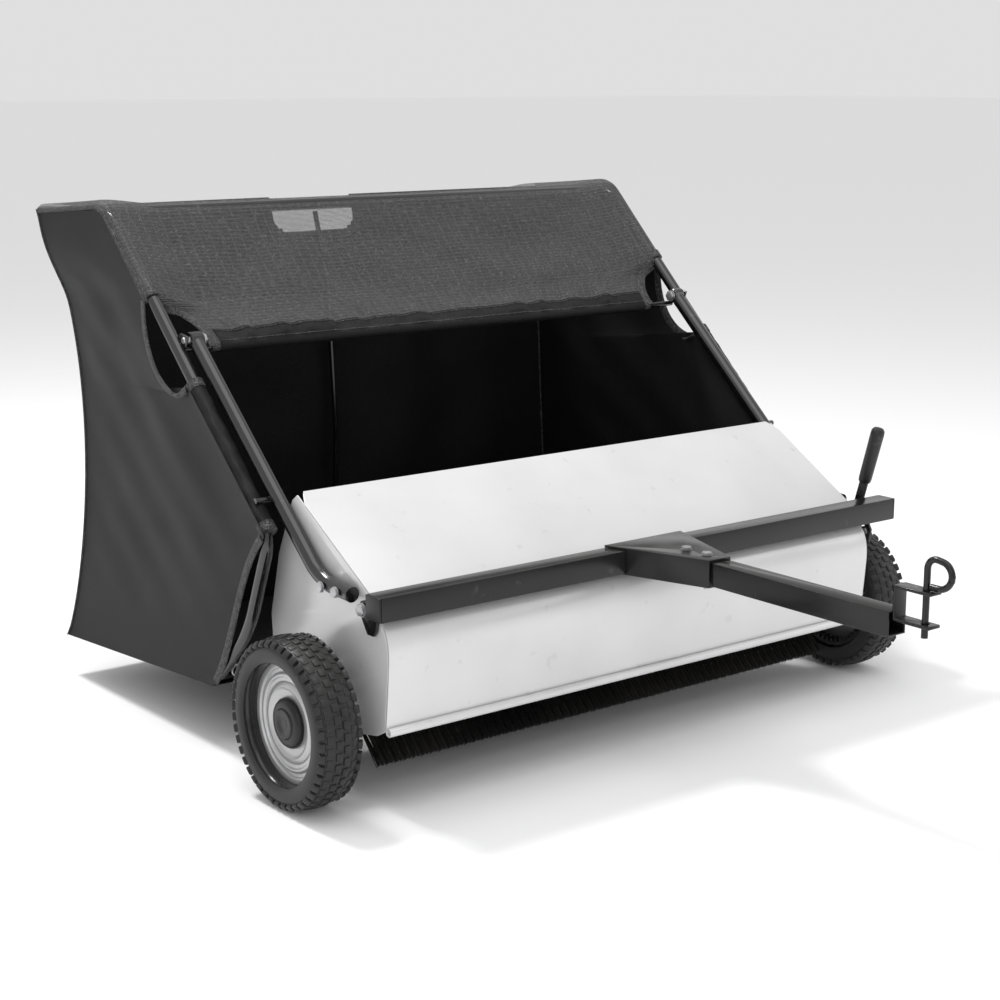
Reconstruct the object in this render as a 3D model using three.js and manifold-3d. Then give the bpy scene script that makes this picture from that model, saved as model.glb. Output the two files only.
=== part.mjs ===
// A tow-behind lawn sweeper: two ground wheels drive a four-row brush through internal ring
// gears, and the brush throws leaves back into a fabric hopper that tips about its two arms.
//
// Millimetres, +X to the machine's left-to-right width, +Y to the rear, +Z up. Everything is
// first laid out with Y = 0 at the wheel axle and Z = 0 on the ground. The outer group then
// moves it so that the origin lies on the ground below the middle of the machine.

import * as THREE from "three";
import { mergeVertices } from "three/addons/utils/BufferGeometryUtils.js";
import Module from "manifold-3d";

const wasm = await Module();
wasm.setup();

// ---------------------------------------------------------------- driving dimensions

const GAP = 0.4; // clearance left between pieces that touch
const AXLE_Z = 136; // wheel radius, so also the axle's height
const TRACK_HALF = 610; // middle of a tyre
const TYRE_WIDTH = 76;
const RIM_R = 98.6;
const AXLE_R = 8;

const MODULE_MM = 3.5; // gear tooth size
const RING_TEETH = 48;
const PINION_TEETH = 12;
const GEAR_OFFSET = ((RING_TEETH - PINION_TEETH) * MODULE_MM) / 2;
const GEAR_ANGLE = (40 * Math.PI) / 180; // brush axis from the wheel axis, above the rear
const BRUSH_Y = GEAR_OFFSET * Math.cos(GEAR_ANGLE);
const BRUSH_Z = AXLE_Z + GEAR_OFFSET * Math.sin(GEAR_ANGLE);
const BRUSH_R = 165;
const SHAFT_R = 9;

const PLATE_X = 525; // inner face of a housing side plate
const PLATE_T = 2.5;
const SHEET_T = 2;

const TUBE_SIDE = 38; // square tube of the cross tube and the tongue
const TUBE_WALL = 2.5;
const CROSS_Y = -130;
const CROSS_Z = 333;
const CROSS_END = { left: 550, right: 578 }; // longer on the lever's side
const TONGUE_FRONT_Y = -655;
const HITCH_PIVOT = [-80, 318]; // bolts that the hitch frame tilts about
const HITCH_BOLT_R = 6;

const LEVER_PIVOT = [-62, 275];
const LEVER_X = 560;
const LEVER_T = 5;
const LEVER_LEAN = 0.277; // radians forward of upright
const LEVER_PER_TILT = 2.5; // lever angle for each degree of hitch tilt
const TILT_MAX = (4 * Math.PI) / 180;
const CAM_STUD = [-96, 290]; // stud on the right ear that runs in the lever's slot
const CAM_STUD_R = 4;

const ARM_X = 541;
const ARM_R = 12.5;
const ARM_PATH = [[-50, 338], [26, 342], [398, 676]]; // foot, bend, hopper pivot
const PIVOT = ARM_PATH[2];
const STOP_R = 5; // stop bar on each arm that the hopper's side tube rests against

const HOPPER_X = 568;
const HOPPER_R = 11;
const SIDE_TUBE_PATH = [[300, 130], [202, 226], [131, 399], [636, 878], [870, 852]];
const CROSS_MEMBER_X = HOPPER_X - HOPPER_R - GAP; // where the hopper's cross tubes end
const LIP = [428, 657];
const CLOTH_T = 3;
const BAG_X = 581; // inner face of a bag side
const NOTCH_HALF = 95; // hand opening at the bag's rear top edge

// ---------------------------------------------------------------- materials

const finish = (color, roughness, metalness) => new THREE.MeshStandardMaterial({ color, roughness, metalness });
const SILVER = finish(0xcfcdce, 0.4, 0.3);
const BLACK_PAINT = finish(0x1b1c1e, 0.35, 0.2);
const ZINC = finish(0xa9abad, 0.35, 0.9);
const TYRE_RUBBER = finish(0x26262a, 0.9, 0);
const GRIP_RUBBER = finish(0x0f0f10, 0.6, 0);
const BLACK_PLASTIC = finish(0x18191b, 0.5, 0);
const BRISTLE = finish(0x2b2a28, 0.8, 0);
const MESH_CLOTH = finish(0x38383a, 0.8, 0);
const COATED_CLOTH = finish(0x2a2a2c, 0.7, 0);

// ---------------------------------------------------------------- shape helpers

const layout = new THREE.Group();

function add(name, geometry, material) {
  const mesh = new THREE.Mesh(geometry, material);
  mesh.name = name;
  layout.add(mesh);
  return mesh;
}

// Turns a shape drawn in (Y, Z) and extruded along the third axis so that it runs along X.
const ALONG_X = new THREE.Matrix4().set(0, 0, 1, 0, 1, 0, 0, 0, 0, 1, 0, 0, 0, 0, 0, 1);

const vectors = (points) => points.map(([a, b]) => new THREE.Vector2(a, b));

function circleHole(centre, radius) {
  const hole = new THREE.Path();
  hole.absarc(centre[0], centre[1], radius, 0, Math.PI * 2, true);
  return hole;
}

// A flat piece: an outline in (Y, Z), from x0 to x1.
function plateX(outline, x0, x1, holes = [], curveSegments = 8) {
  const shape = outline instanceof THREE.Shape ? outline : new THREE.Shape(vectors(outline));
  shape.holes.push(...holes);
  const geometry = new THREE.ExtrudeGeometry(shape, { depth: x1 - x0, bevelEnabled: false, curveSegments });
  return geometry.applyMatrix4(ALONG_X).translate(x0, 0, 0);
}

// A flat piece: an outline in (X, Y), from z0 to z1.
function plateZ(outline, z0, z1) {
  const shape = new THREE.Shape(vectors(outline));
  return new THREE.ExtrudeGeometry(shape, { depth: z1 - z0, bevelEnabled: false }).translate(0, 0, z0);
}

// Bent sheet: a line in (Y, Z) thickened to its left-hand side, from x0 to x1.
function sheetX(line, thickness, x0, x1) {
  const offset = line.map((point, i) => {
    const before = line[Math.max(i - 1, 0)];
    const after = line[Math.min(i + 1, line.length - 1)];
    const a = new THREE.Vector2(point[0] - before[0], point[1] - before[1]).normalize();
    const b = new THREE.Vector2(after[0] - point[0], after[1] - point[1]).normalize();
    const along = a.clone().add(b).normalize();
    const bend = Math.max(along.dot(a.lengthSq() ? a : b), 0.5);
    return [point[0] - (along.y * thickness) / bend, point[1] + (along.x * thickness) / bend];
  });
  return plateX([...line, ...offset.reverse()], x0, x1);
}

// A turned piece about the X axis through (y, z): profile points are [radius, x].
function turned(profile, y, z, segments, phase = 0) {
  let area = 0;
  profile.forEach(([r, x], i) => {
    const [r2, x2] = profile[(i + 1) % profile.length];
    area += r * x2 - r2 * x;
  });
  const ordered = area > 0 ? profile : [...profile].reverse();
  const onAxis = ordered.some(([r]) => r === 0);
  const points = vectors(onAxis ? ordered : [...ordered, ordered[0]]);
  const geometry = new THREE.LatheGeometry(points, segments);
  return geometry.rotateZ(-Math.PI / 2).rotateX(phase).translate(0, y, z);
}

// A round bar along X.
function barX(radius, x0, x1, y, z, segments = 12) {
  return new THREE.CylinderGeometry(radius, radius, x1 - x0, segments)
    .rotateZ(Math.PI / 2)
    .translate((x0 + x1) / 2, y, z);
}

// A bolt along X, its head at xHead and its plain end at xTip.
function boltX(radius, xHead, xTip, y, z) {
  const out = Math.sign(xHead - xTip);
  const head = radius * 1.7;
  const profile = [[0, xTip], [radius, xTip], [radius, xHead - out * radius], [head, xHead - out * radius],
    [head, xHead], [0, xHead]];
  return turned(profile, y, z, 8);
}

function boltZ(radius, zTip, zHead, x, y) {
  const head = radius * 1.7;
  const profile = vectors([[0, zTip], [radius, zTip], [radius, zHead - radius], [head, zHead - radius],
    [head, zHead], [0, zHead]]);
  return new THREE.LatheGeometry(profile, 8).rotateX(Math.PI / 2).translate(x, y, 0);
}

// A path of straight runs and rounded corners, given as its own nodes, so that a tube along
// it has rings only where it bends.
class NodePath extends THREE.Curve {
  constructor(corners, bend, ringsPerBend = 4) {
    super();
    this.nodes = [corners[0].clone()];
    for (let i = 1; i < corners.length - 1; i++) {
      const toBefore = corners[i - 1].clone().sub(corners[i]).normalize();
      const toAfter = corners[i + 1].clone().sub(corners[i]).normalize();
      const from = corners[i].clone().addScaledVector(toBefore, bend);
      const to = corners[i].clone().addScaledVector(toAfter, bend);
      const arc = new THREE.QuadraticBezierCurve3(from, corners[i], to);
      this.nodes.push(...arc.getPoints(ringsPerBend));
    }
    this.nodes.push(corners[corners.length - 1].clone());
  }
  getPoint(t) {
    const place = Math.min(Math.max(t, 0), 1) * (this.nodes.length - 1);
    const i = Math.min(Math.floor(place), this.nodes.length - 2);
    return this.nodes[i].clone().lerp(this.nodes[i + 1], place - i);
  }
  getPointAt(u) {
    return this.getPoint(u);
  }
  getSpacedPoints(divisions) {
    return Array.from({ length: divisions + 1 }, (_, i) => this.getPoint(i / divisions));
  }
  getTangentAt(u) {
    const i = Math.round(u * (this.nodes.length - 1));
    const step = (k) => {
      const a = Math.min(Math.max(k, 0), this.nodes.length - 2);
      return this.nodes[a + 1].clone().sub(this.nodes[a]).normalize();
    };
    return step(i - 1).add(step(i)).normalize();
  }
}

// A round tube (or a solid bar when wall is 0) along bent corners.
function bentTube(corners, radius, wall, bend, sides = 10) {
  const path = new NodePath(corners.map((c) => new THREE.Vector3(...c)), bend);
  const section = new THREE.Shape().absarc(0, 0, radius, 0, Math.PI * 2);
  if (wall) section.holes.push(circleHole([0, 0], radius - wall));
  return new THREE.ExtrudeGeometry(section, {
    steps: path.nodes.length - 1,
    extrudePath: path,
    curveSegments: sides / 2,
    bevelEnabled: false,
  });
}

const inPlane = (path, x) => path.map(([y, z]) => [x, y, z]);

function straightTube(x, y, z, radius, wall) {
  return bentTube([[-x, y, z], [x, y, z]], radius, wall, 0);
}

function squareRing(half, wall) {
  const square = (h) => vectors([[-h, -h], [h, -h], [h, h], [-h, h]]);
  const shape = new THREE.Shape(square(half));
  shape.holes.push(new THREE.Path(square(half - wall).reverse()));
  return shape;
}

// ---------------------------------------------------------------- boolean joins and cuts

function solid(geometry) {
  const bare = geometry.index ? geometry.toNonIndexed() : geometry.clone();
  bare.deleteAttribute("normal");
  bare.deleteAttribute("uv");
  const merged = mergeVertices(bare, 1e-4);
  return new wasm.Manifold(
    new wasm.Mesh({
      numProp: 3,
      vertProperties: merged.attributes.position.array,
      triVerts: new Uint32Array(merged.index.array),
    }),
  );
}

function geometryOf(manifold) {
  const mesh = manifold.getMesh();
  const geometry = new THREE.BufferGeometry();
  geometry.setAttribute("position", new THREE.BufferAttribute(new Float32Array(mesh.vertProperties), 3));
  return geometry.setIndex(new THREE.BufferAttribute(new Uint32Array(mesh.triVerts), 1));
}

const joined = (first, ...rest) => geometryOf(rest.reduce((sum, g) => sum.add(solid(g)), solid(first)));
const cut = (first, ...rest) => geometryOf(rest.reduce((sum, g) => sum.subtract(solid(g)), solid(first)));

// ---------------------------------------------------------------- wheels

const SIDES = [["left", -1], ["right", 1]];

const sided = (profile, side, x0) => profile.map(([r, s]) => [r, side * (x0 - s)]);
const TYRE_OUTER_X = TRACK_HALF + TYRE_WIDTH / 2;

function gearOutline(teeth, sign, phase) {
  // Straight-flanked teeth. sign is +1 for teeth that point out and -1 for a ring's.
  const pitch = (teeth * MODULE_MM) / 2;
  const tip = pitch + sign * 0.8 * MODULE_MM;
  const root = pitch - sign * 1.3 * MODULE_MM;
  const halfTip = (0.34 * MODULE_MM) / tip;
  const halfRoot = (1.02 * MODULE_MM) / root;
  const points = [];
  for (let i = 0; i < teeth; i++) {
    const middle = phase + (i * 2 * Math.PI) / teeth;
    points.push([root, middle - halfRoot], [tip, middle - halfTip], [tip, middle + halfTip], [root, middle + halfRoot]);
  }
  return points.map(([r, a]) => [r * Math.cos(a), r * Math.sin(a)]);
}

function placedPath(outline, y, z) {
  return outline.map(([a, b]) => [a + y, b + z]);
}

function wheel(name, side) {
  const at = (profile) => sided(profile, side, TYRE_OUTER_X);
  const facets = 40;
  const grow = 1 / Math.cos(Math.PI / facets); // so that a flat of the tyre just meets the ground
  const turn = Math.PI / facets;
  const tyre = [[RIM_R + GAP, 8], [108, 2], [124, 0], [135, 6], [AXLE_Z * grow, 20], [AXLE_Z * grow, 56],
    [135, 70], [124, 76], [108, 74], [RIM_R + GAP, 68]];
  add(`tyre_${name}`, turned(at(tyre), 0, AXLE_Z, facets, turn), TYRE_RUBBER);

  const rim = [[RIM_R, 5], [RIM_R, 70], [95.6, 70], [95.6, 34], [54, 34], [46, 40], [22, 40], [22, 52],
    [AXLE_R + 0.5, 52], [AXLE_R + 0.5, 26], [34, 26], [42, 31], [60, 24], [78, 24], [86, 29], [93, 29], [95.6, 5]];
  add(`rim_${name}`, turned(at(rim), 0, AXLE_Z, 28), SILVER);

  const ring = new THREE.Shape().absarc(0, AXLE_Z, 95, 0, Math.PI * 2);
  const teeth = placedPath(gearOutline(RING_TEETH, -1, GEAR_ANGLE), 0, AXLE_Z).reverse();
  const ringX = [TYRE_OUTER_X - 66, TYRE_OUTER_X - 48];
  add(
    `ring_gear_${name}`,
    plateX(ring, Math.min(side * ringX[0], side * ringX[1]), Math.max(side * ringX[0], side * ringX[1]),
      [new THREE.Path(vectors(teeth))], 14),
    BLACK_PLASTIC,
  );

  const cap = [[0, 14], [26, 14], [36, 17], [40, 23.5], [40, 27.5], [37.5, 27.5], [37.5, 24], [0, 20]];
  add(`hub_cap_${name}`, turned(at(cap), 0, AXLE_Z, 24), BLACK_PLASTIC);
}

SIDES.forEach(([name, side]) => wheel(name, side));

// ---------------------------------------------------------------- brush and its pinions

function pinion(name, side) {
  const x = [TYRE_OUTER_X - 65, TYRE_OUTER_X - 49].map((v) => side * v);
  const phase = GEAR_ANGLE + Math.PI / PINION_TEETH; // a gap of the pinion faces a tooth of the ring
  const outline = placedPath(gearOutline(PINION_TEETH, 1, phase), BRUSH_Y, BRUSH_Z);
  const hole = circleHole([BRUSH_Y, BRUSH_Z], SHAFT_R + GAP);
  add(`pinion_${name}`, plateX(outline, Math.min(...x), Math.max(...x), [hole]), ZINC);
}

function brush() {
  const core = 23;
  const end = TYRE_OUTER_X - 47;
  const shaft = [[0, -end], [SHAFT_R, -end], [SHAFT_R, -(PLATE_X - 12)], [core, -(PLATE_X - 12)],
    [core, PLATE_X - 12], [SHAFT_R, PLATE_X - 12], [SHAFT_R, end], [0, end]];
  add("brush_shaft", turned(shaft, BRUSH_Y, BRUSH_Z, 16), BLACK_PAINT);
  const inner = core + GAP;
  for (let row = 0; row < 4; row++) {
    const half = 9;
    const slab = new THREE.BoxGeometry(2 * (PLATE_X - 15), BRUSH_R - inner, 2 * half)
      .translate(0, (BRUSH_R + inner) / 2, 0)
      .rotateX((row * Math.PI) / 2 + Math.PI / 4)
      .translate(0, BRUSH_Y, BRUSH_Z);
    add(`brush_row_${row + 1}`, slab, BRISTLE);
  }
}

SIDES.forEach(([name, side]) => pinion(name, side));
brush();

// ---------------------------------------------------------------- housing

const HOOD_LOW = [-104, 329.4];
const HOOD_TOP = [116, 462];
const COVER_TOP = [-102, 308]; // where the cover's upright edge, behind the cross tube, begins to curve
const COVER_LOW = [-123, 134];

// The curved section of the front cover, from under the cross tube down to its rolled hem.
function coverLine() {
  const shoulder = new THREE.CubicBezierCurve(
    new THREE.Vector2(...COVER_TOP), new THREE.Vector2(-124, 304),
    new THREE.Vector2(-137, 282), new THREE.Vector2(-133, 236));
  const curve = shoulder.getPoints(6).map((p) => [p.x, p.y]);
  return [[COVER_TOP[0], HOOD_LOW[1] - 3], ...curve, COVER_LOW, [-131, 128], [-139, 130]];
}

function sidePlateOutline() {
  const inset = 2.6; // keeps the plate inside the sheets that lap over its edge
  const cover = coverLine().slice(1, 9).map(([y, z]) => [y + inset, z - inset / 3]);
  return [
    [cover[0][0], HOOD_LOW[1] + 1.6],
    ...cover,
    [-100, 122], [-58, 114], [-34, 100], [34, 100], [60, 114], [150, 118], [192, 150],
    [200, 250], [172, 356], [HOOD_TOP[0] + 12, HOOD_TOP[1] - 12], [HOOD_TOP[0] - 2, HOOD_TOP[1] - 2],
  ];
}

function housing() {
  SIDES.forEach(([name, side]) => {
    const x = [side * PLATE_X, side * (PLATE_X + PLATE_T)];
    const holes = [circleHole([0, AXLE_Z], AXLE_R + GAP), circleHole([BRUSH_Y, BRUSH_Z], 15 + GAP),
      circleHole(HITCH_PIVOT, HITCH_BOLT_R + GAP)];
    add(`side_plate_${name}`, plateX(sidePlateOutline(), Math.min(...x), Math.max(...x), holes), SILVER);
  });

  const hood = [HOOD_LOW, HOOD_TOP, [HOOD_TOP[0] + 7, HOOD_TOP[1] - 6]];
  const corner = 26; // the rear corners of the hood are cut off and rounded
  const sheet = sheetX(hood, SHEET_T, -PLATE_X - PLATE_T, PLATE_X + PLATE_T);
  const corners = SIDES.map(([, side]) => {
    const edge = side * (PLATE_X + PLATE_T);
    const tool = [[edge + side, HOOD_TOP[0] + 20], [edge + side, HOOD_TOP[0] - corner],
      [edge - side * corner * 0.3, HOOD_TOP[0] - corner * 0.3], [edge - side * corner, HOOD_TOP[0] + 20]];
    return plateZ(side > 0 ? tool : [...tool].reverse(), 380, 480);
  });
  add("hood", cut(sheet, ...corners), SILVER);

  const cover = coverLine().reverse();
  add("front_cover", sheetX(cover, SHEET_T, -PLATE_X - PLATE_T, PLATE_X + PLATE_T), SILVER);

  add("rear_tie_rod", barX(7, -PLATE_X + GAP, PLATE_X - GAP, 166, 338), BLACK_PAINT);
}

// Bushes that the brush shaft turns in, and stub axles for the ground wheels.
function runningGear(name, side) {
  const at = (profile) => profile.map(([r, x]) => [r, side * x]);
  const bush = [[SHAFT_R + GAP, 518], [20, 518], [20, PLATE_X - GAP], [15, PLATE_X - GAP], [15, 533],
    [SHAFT_R + GAP, 533]];
  add(`bush_${name}`, turned(at(bush), BRUSH_Y, BRUSH_Z, 16), BLACK_PLASTIC);

  const axle = [[0, 514], [14, 514], [14, PLATE_X - GAP], [AXLE_R, PLATE_X - GAP], [AXLE_R, PLATE_X + PLATE_T + GAP],
    [15, PLATE_X + PLATE_T + GAP], [15, 594], [AXLE_R, 594], [AXLE_R, 626], [0, 626]];
  add(`axle_${name}`, turned(at(axle), 0, AXLE_Z, 16), ZINC);
}

housing();
SIDES.forEach(([name, side]) => runningGear(name, side));

// ---------------------------------------------------------------- arms that carry the hopper

function armPoint(distance) {
  // A point on the arm's sloping run, measured down from the hopper pivot.
  const [bend, top] = [ARM_PATH[1], ARM_PATH[2]];
  const length = Math.hypot(top[0] - bend[0], top[1] - bend[1]);
  return [top[0] + ((bend[0] - top[0]) * distance) / length, top[1] + ((bend[1] - top[1]) * distance) / length];
}

// A point along the hopper side tube's sloping run, raised square to it.
function besideSideTube(distance, raise) {
  const [, , low, high] = SIDE_TUBE_PATH;
  const along = new THREE.Vector2(high[0] - low[0], high[1] - low[1]).normalize();
  return [low[0] + along.x * distance - along.y * raise, low[1] + along.y * distance + along.x * raise];
}

function arm(name, side) {
  const x = side * ARM_X;
  const tube = bentTube(inPlane([ARM_PATH[0], ARM_PATH[1], armPoint(8)], x), ARM_R, 2, 34);
  const eye = barX(14, x - ARM_R + 1, x + ARM_R - 1, ...PIVOT, 16);
  const [stopY, stopZ] = besideSideTube(55, HOPPER_R + STOP_R + 0.6);
  const stopX = [side * (ARM_X + 4), side * (HOPPER_X + 9)];
  const stop = barX(STOP_R, Math.min(...stopX), Math.max(...stopX), stopY, stopZ, 8);
  const bore = barX(6 + GAP, x - 20, x + 20, ...PIVOT, 12);
  const bolts = [-34, 6].map((y) => barX(5 + GAP, x - 20, x + 20, y, 338.5, 8));
  const body = solid(tube).add(solid(eye)).add(solid(stop)).subtract(solid(bore));
  add(`arm_${name}`, geometryOf(bolts.reduce((sum, g) => sum.subtract(solid(g)), body)), BLACK_PAINT);
  [["front", -34], ["rear", 6]].forEach(([place, y]) => {
    add(`arm_bolt_${place}_${name}`, boltX(5, side * (ARM_X + ARM_R + 7), side * (PLATE_X + PLATE_T + 0.3), y, 338.5),
      ZINC);
  });
}

SIDES.forEach(([name, side]) => arm(name, side));

// ---------------------------------------------------------------- hitch frame

function earGeometry(side) {
  // A flat ear welded to the cross tube's rear face, with the tilt bolt's hole.
  const [py, pz] = HITCH_PIVOT;
  const half = TUBE_SIDE / 2;
  const outline = new THREE.Shape();
  outline.moveTo(CROSS_Y + half - 3, CROSS_Z + half - 4);
  outline.lineTo(CROSS_Y + half - 3, CROSS_Z - half);
  outline.lineTo(CAM_STUD[0] - 14, CAM_STUD[1]);
  outline.lineTo(CAM_STUD[0] - 8, CAM_STUD[1] - 9);
  outline.lineTo(CAM_STUD[0] + 8, CAM_STUD[1] - 9);
  outline.absarc(py, pz, 14, -Math.PI / 4, Math.PI / 2, false);
  const x = [side * 530, side * 535];
  return plateX(outline, Math.min(...x), Math.max(...x), [circleHole(HITCH_PIVOT, HITCH_BOLT_R + GAP)]);
}

function crossTube() {
  const ring = squareRing(TUBE_SIDE / 2, TUBE_WALL);
  const tube = plateX(ring, -CROSS_END.left, CROSS_END.right).translate(0, CROSS_Y, CROSS_Z);
  const stud = barX(CAM_STUD_R, 532, LEVER_X + LEVER_T + 2, ...CAM_STUD, 10);
  add("cross_tube", joined(tube, earGeometry(-1), earGeometry(1), stud), BLACK_PAINT);
  SIDES.forEach(([name, side]) => {
    const inner = TUBE_SIDE / 2 - TUBE_WALL - GAP;
    const end = CROSS_END[name];
    const plug = new THREE.BoxGeometry(16, 2 * inner, 2 * inner).translate(side * (end - 6), CROSS_Y, CROSS_Z);
    const face = new THREE.BoxGeometry(3, TUBE_SIDE, TUBE_SIDE).translate(side * (end + 1.8), CROSS_Y, CROSS_Z);
    add(`end_plug_${name}`, joined(plug, face), BLACK_PLASTIC);
    const bolt = boltX(HITCH_BOLT_R, side * 544, side * (PLATE_X - 6), ...HITCH_PIVOT);
    add(`hitch_bolt_${name}`, bolt, ZINC);
  });
}

function tongue() {
  const half = TUBE_SIDE / 2;
  const back = CROSS_Y - half - GAP;
  const ring = new THREE.ExtrudeGeometry(squareRing(half, TUBE_WALL), {
    depth: back - TONGUE_FRONT_Y,
    bevelEnabled: false,
  });
  const tube = ring.rotateX(-Math.PI / 2).translate(0, TONGUE_FRONT_Y, CROSS_Z);
  const bolts = [-215, -262].map((y) => new THREE.CylinderGeometry(5 + GAP, 5 + GAP, 60, 8)
    .rotateX(Math.PI / 2).translate(0, y, CROSS_Z));
  add("tongue", cut(tube, ...bolts), BLACK_PAINT);

  // Gusset plates clamp the tongue to the cross tube; the upper one is folded down at its sides.
  const rear = CROSS_Y + half;
  const front = -292;
  const trapezoid = (wide, narrow, y0, y1) => [[-narrow, y1], [narrow, y1], [wide, y0], [-wide, y0]];
  const holes = (z0, z1) => [-215, -262].map((y) => new THREE.CylinderGeometry(5 + GAP, 5 + GAP, z1 - z0, 8)
    .rotateX(Math.PI / 2).translate(0, y, (z0 + z1) / 2));
  const top = CROSS_Z + half + GAP;
  const outer = plateZ(trapezoid(84, 23, rear, front), top - 40, top + 4);
  const inner = plateZ(trapezoid(80.5, 19.4, rear + 20, front - 12), top - 60, top);
  const clearance = new THREE.BoxGeometry(300, TUBE_SIDE + 2, 80).translate(0, CROSS_Y, top - 40);
  add("gusset_top", cut(outer, inner, clearance, ...holes(top - 10, top + 10)), BLACK_PAINT);
  const bottom = CROSS_Z - half - GAP;
  const lower = plateZ(trapezoid(76, 18, rear, front + 4), bottom - 4, bottom);
  add("gusset_bottom", cut(lower, ...holes(bottom - 10, bottom + 6)), BLACK_PAINT);
  [["rear", -215], ["front", -262]].forEach(([place, y]) => {
    add(`tongue_bolt_${place}`, boltZ(5, bottom - 12, top + 9.5, 0, y), ZINC);
  });
}

const PIN_Y = -706;
const PIN_R = 5;
const CLEVIS_HALF = 13;

function hitchEnd() {
  // A strap bent to a C on the tongue's end, with a hole through both lips for the drop pin.
  const thick = 5;
  const back = TONGUE_FRONT_Y - GAP;
  const tip = PIN_Y - 17;
  const [low, high] = [338, 392];
  const outline = [[back, low], [back, high], [tip, high], [tip, high - thick], [back - thick, high - thick],
    [back - thick, low + thick], [tip, low + thick], [tip, low]];
  const bore = new THREE.CylinderGeometry(PIN_R + 1, PIN_R + 1, 100, 16).rotateX(Math.PI / 2).translate(0, PIN_Y, 364);
  add("clevis", cut(plateX(outline, -CLEVIS_HALF, CLEVIS_HALF), bore), BLACK_PAINT);

  // The drop pin: one round bar, bent over above the upper lip into a loop that rests on it.
  const rest = high + PIN_R + 1;
  const loop = [[PIN_Y, 322], [PIN_Y, rest + 44], [PIN_Y - 46, rest + 37], [PIN_Y - 41, rest], [PIN_Y - 8, rest]];
  add("hitch_pin", bentTube(inPlane(loop, 0), PIN_R, 0, 18), BLACK_PAINT);
}

crossTube();
tongue();
hitchEnd();

// ---------------------------------------------------------------- height lever

function camSlot() {
  // Where the stud lies in the lever as the hitch tilts, so that the slot just clears it.
  const centres = [];
  const steps = 6;
  for (let i = 0; i <= steps; i++) {
    const tilt = TILT_MAX * ((2 * i) / steps - 1);
    const turn = (point, centre, angle) => {
      const [dy, dz] = [point[0] - centre[0], point[1] - centre[1]];
      return [centre[0] + dy * Math.cos(angle) - dz * Math.sin(angle),
        centre[1] + dy * Math.sin(angle) + dz * Math.cos(angle)];
    };
    centres.push(turn(turn(CAM_STUD, HITCH_PIVOT, tilt), LEVER_PIVOT, -LEVER_PER_TILT * tilt));
  }
  return centres.map(([y, z]) => barX(CAM_STUD_R + 1.2, LEVER_X - 10, LEVER_X + 20, y, z, 10));
}

function lever() {
  const [py, pz] = LEVER_PIVOT;
  const along = (distance, across) => [
    py - Math.sin(LEVER_LEAN) * distance + Math.cos(LEVER_LEAN) * across,
    pz + Math.cos(LEVER_LEAN) * distance + Math.sin(LEVER_LEAN) * across,
  ];
  const bar = [along(-14, -9), along(-14, 9), along(198, 8), along(198, -8)];
  const cam = [[py + 8, pz - 14], [py + 6, pz + 30], [py - 42, pz + 28], [py - 50, pz + 14], [py - 46, pz - 10]];
  const blank = solid(plateX(bar, LEVER_X, LEVER_X + LEVER_T))
    .add(solid(plateX([...cam].reverse(), LEVER_X, LEVER_X + LEVER_T)));
  const bore = barX(6 + GAP, LEVER_X - 10, LEVER_X + 20, py, pz, 12);
  const slotted = [...camSlot(), bore].reduce((sum, g) => sum.subtract(solid(g)), blank);
  add("height_lever", geometryOf(slotted), BLACK_PAINT);

  const grip = new THREE.CylinderGeometry(11, 10, 108, 12).rotateX(Math.PI / 2);
  const socket = new THREE.BoxGeometry(LEVER_T + 1, 17.2, 98).translate(0, 0, -8);
  const placed = cut(grip, socket).rotateX(LEVER_LEAN).translate(LEVER_X + LEVER_T / 2, ...along(158, 0));
  add("lever_grip", placed, GRIP_RUBBER);

  add("lever_bolt", boltX(6, LEVER_X + LEVER_T + 8, PLATE_X + PLATE_T + 0.3, py, pz), ZINC);
}

lever();

// ---------------------------------------------------------------- hopper frame

function hopperFrame() {
  SIDES.forEach(([name, side]) => {
    const x = side * HOPPER_X;
    const tube = bentTube(inPlane(SIDE_TUBE_PATH, x), HOPPER_R, 1.5, 40);
    // An ear on the tube's front side reaches the pivot pin at the arm's end.
    const [py, pz] = PIVOT;
    const earLine = [[py - 12, pz + 8], [py - 4, pz - 13], [py + 14, pz - 22], [py + 34, pz - 2], [py + 12, pz + 12]];
    const ear = [side * (HOPPER_X - HOPPER_R), side * (HOPPER_X - HOPPER_R + 5)]; // meets the tube's inner side
    const plate = plateX(earLine, Math.min(...ear), Math.max(...ear));
    const bore = barX(6 + GAP, x - 30, x + 30, py, pz, 12);
    add(`hopper_side_tube_${name}`, geometryOf(solid(tube).add(solid(plate)).subtract(solid(bore))), BLACK_PAINT);
    const pin = boltX(6, side * (ARM_X - ARM_R - 6.3), side * (HOPPER_X - 4), py, pz);
    add(`pivot_pin_${name}`, pin, ZINC);
  });

  const across = CROSS_MEMBER_X;
  const [, , , ridge, rearTop] = SIDE_TUBE_PATH;
  add("hopper_rear_tube", straightTube(across, ...rearTop, 9.5, 1.5), BLACK_PAINT);
  add("hopper_ridge_tube", straightTube(across, ridge[0] + 4, ridge[1] - 6, 9.5, 1.5), BLACK_PAINT);
  add("hopper_lip_rod", barX(5, -across, across, ...LIP, 10), BLACK_PAINT);
  add("hopper_front_tube", straightTube(across, SIDE_TUBE_PATH[0][0] - 8, SIDE_TUBE_PATH[0][1] + 8, 8, 1.5),
    BLACK_PAINT);
  const stayTop = [0, rearTop[0] - 12, rearTop[1] - 12];
  add("hopper_rear_stay", bentTube([stayTop, [0, 828, 700], [0, 808, 400], [0, 824, 122]], 5, 0, 30, 8), BLACK_PAINT);
}

hopperFrame();

// ---------------------------------------------------------------- bag

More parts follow.
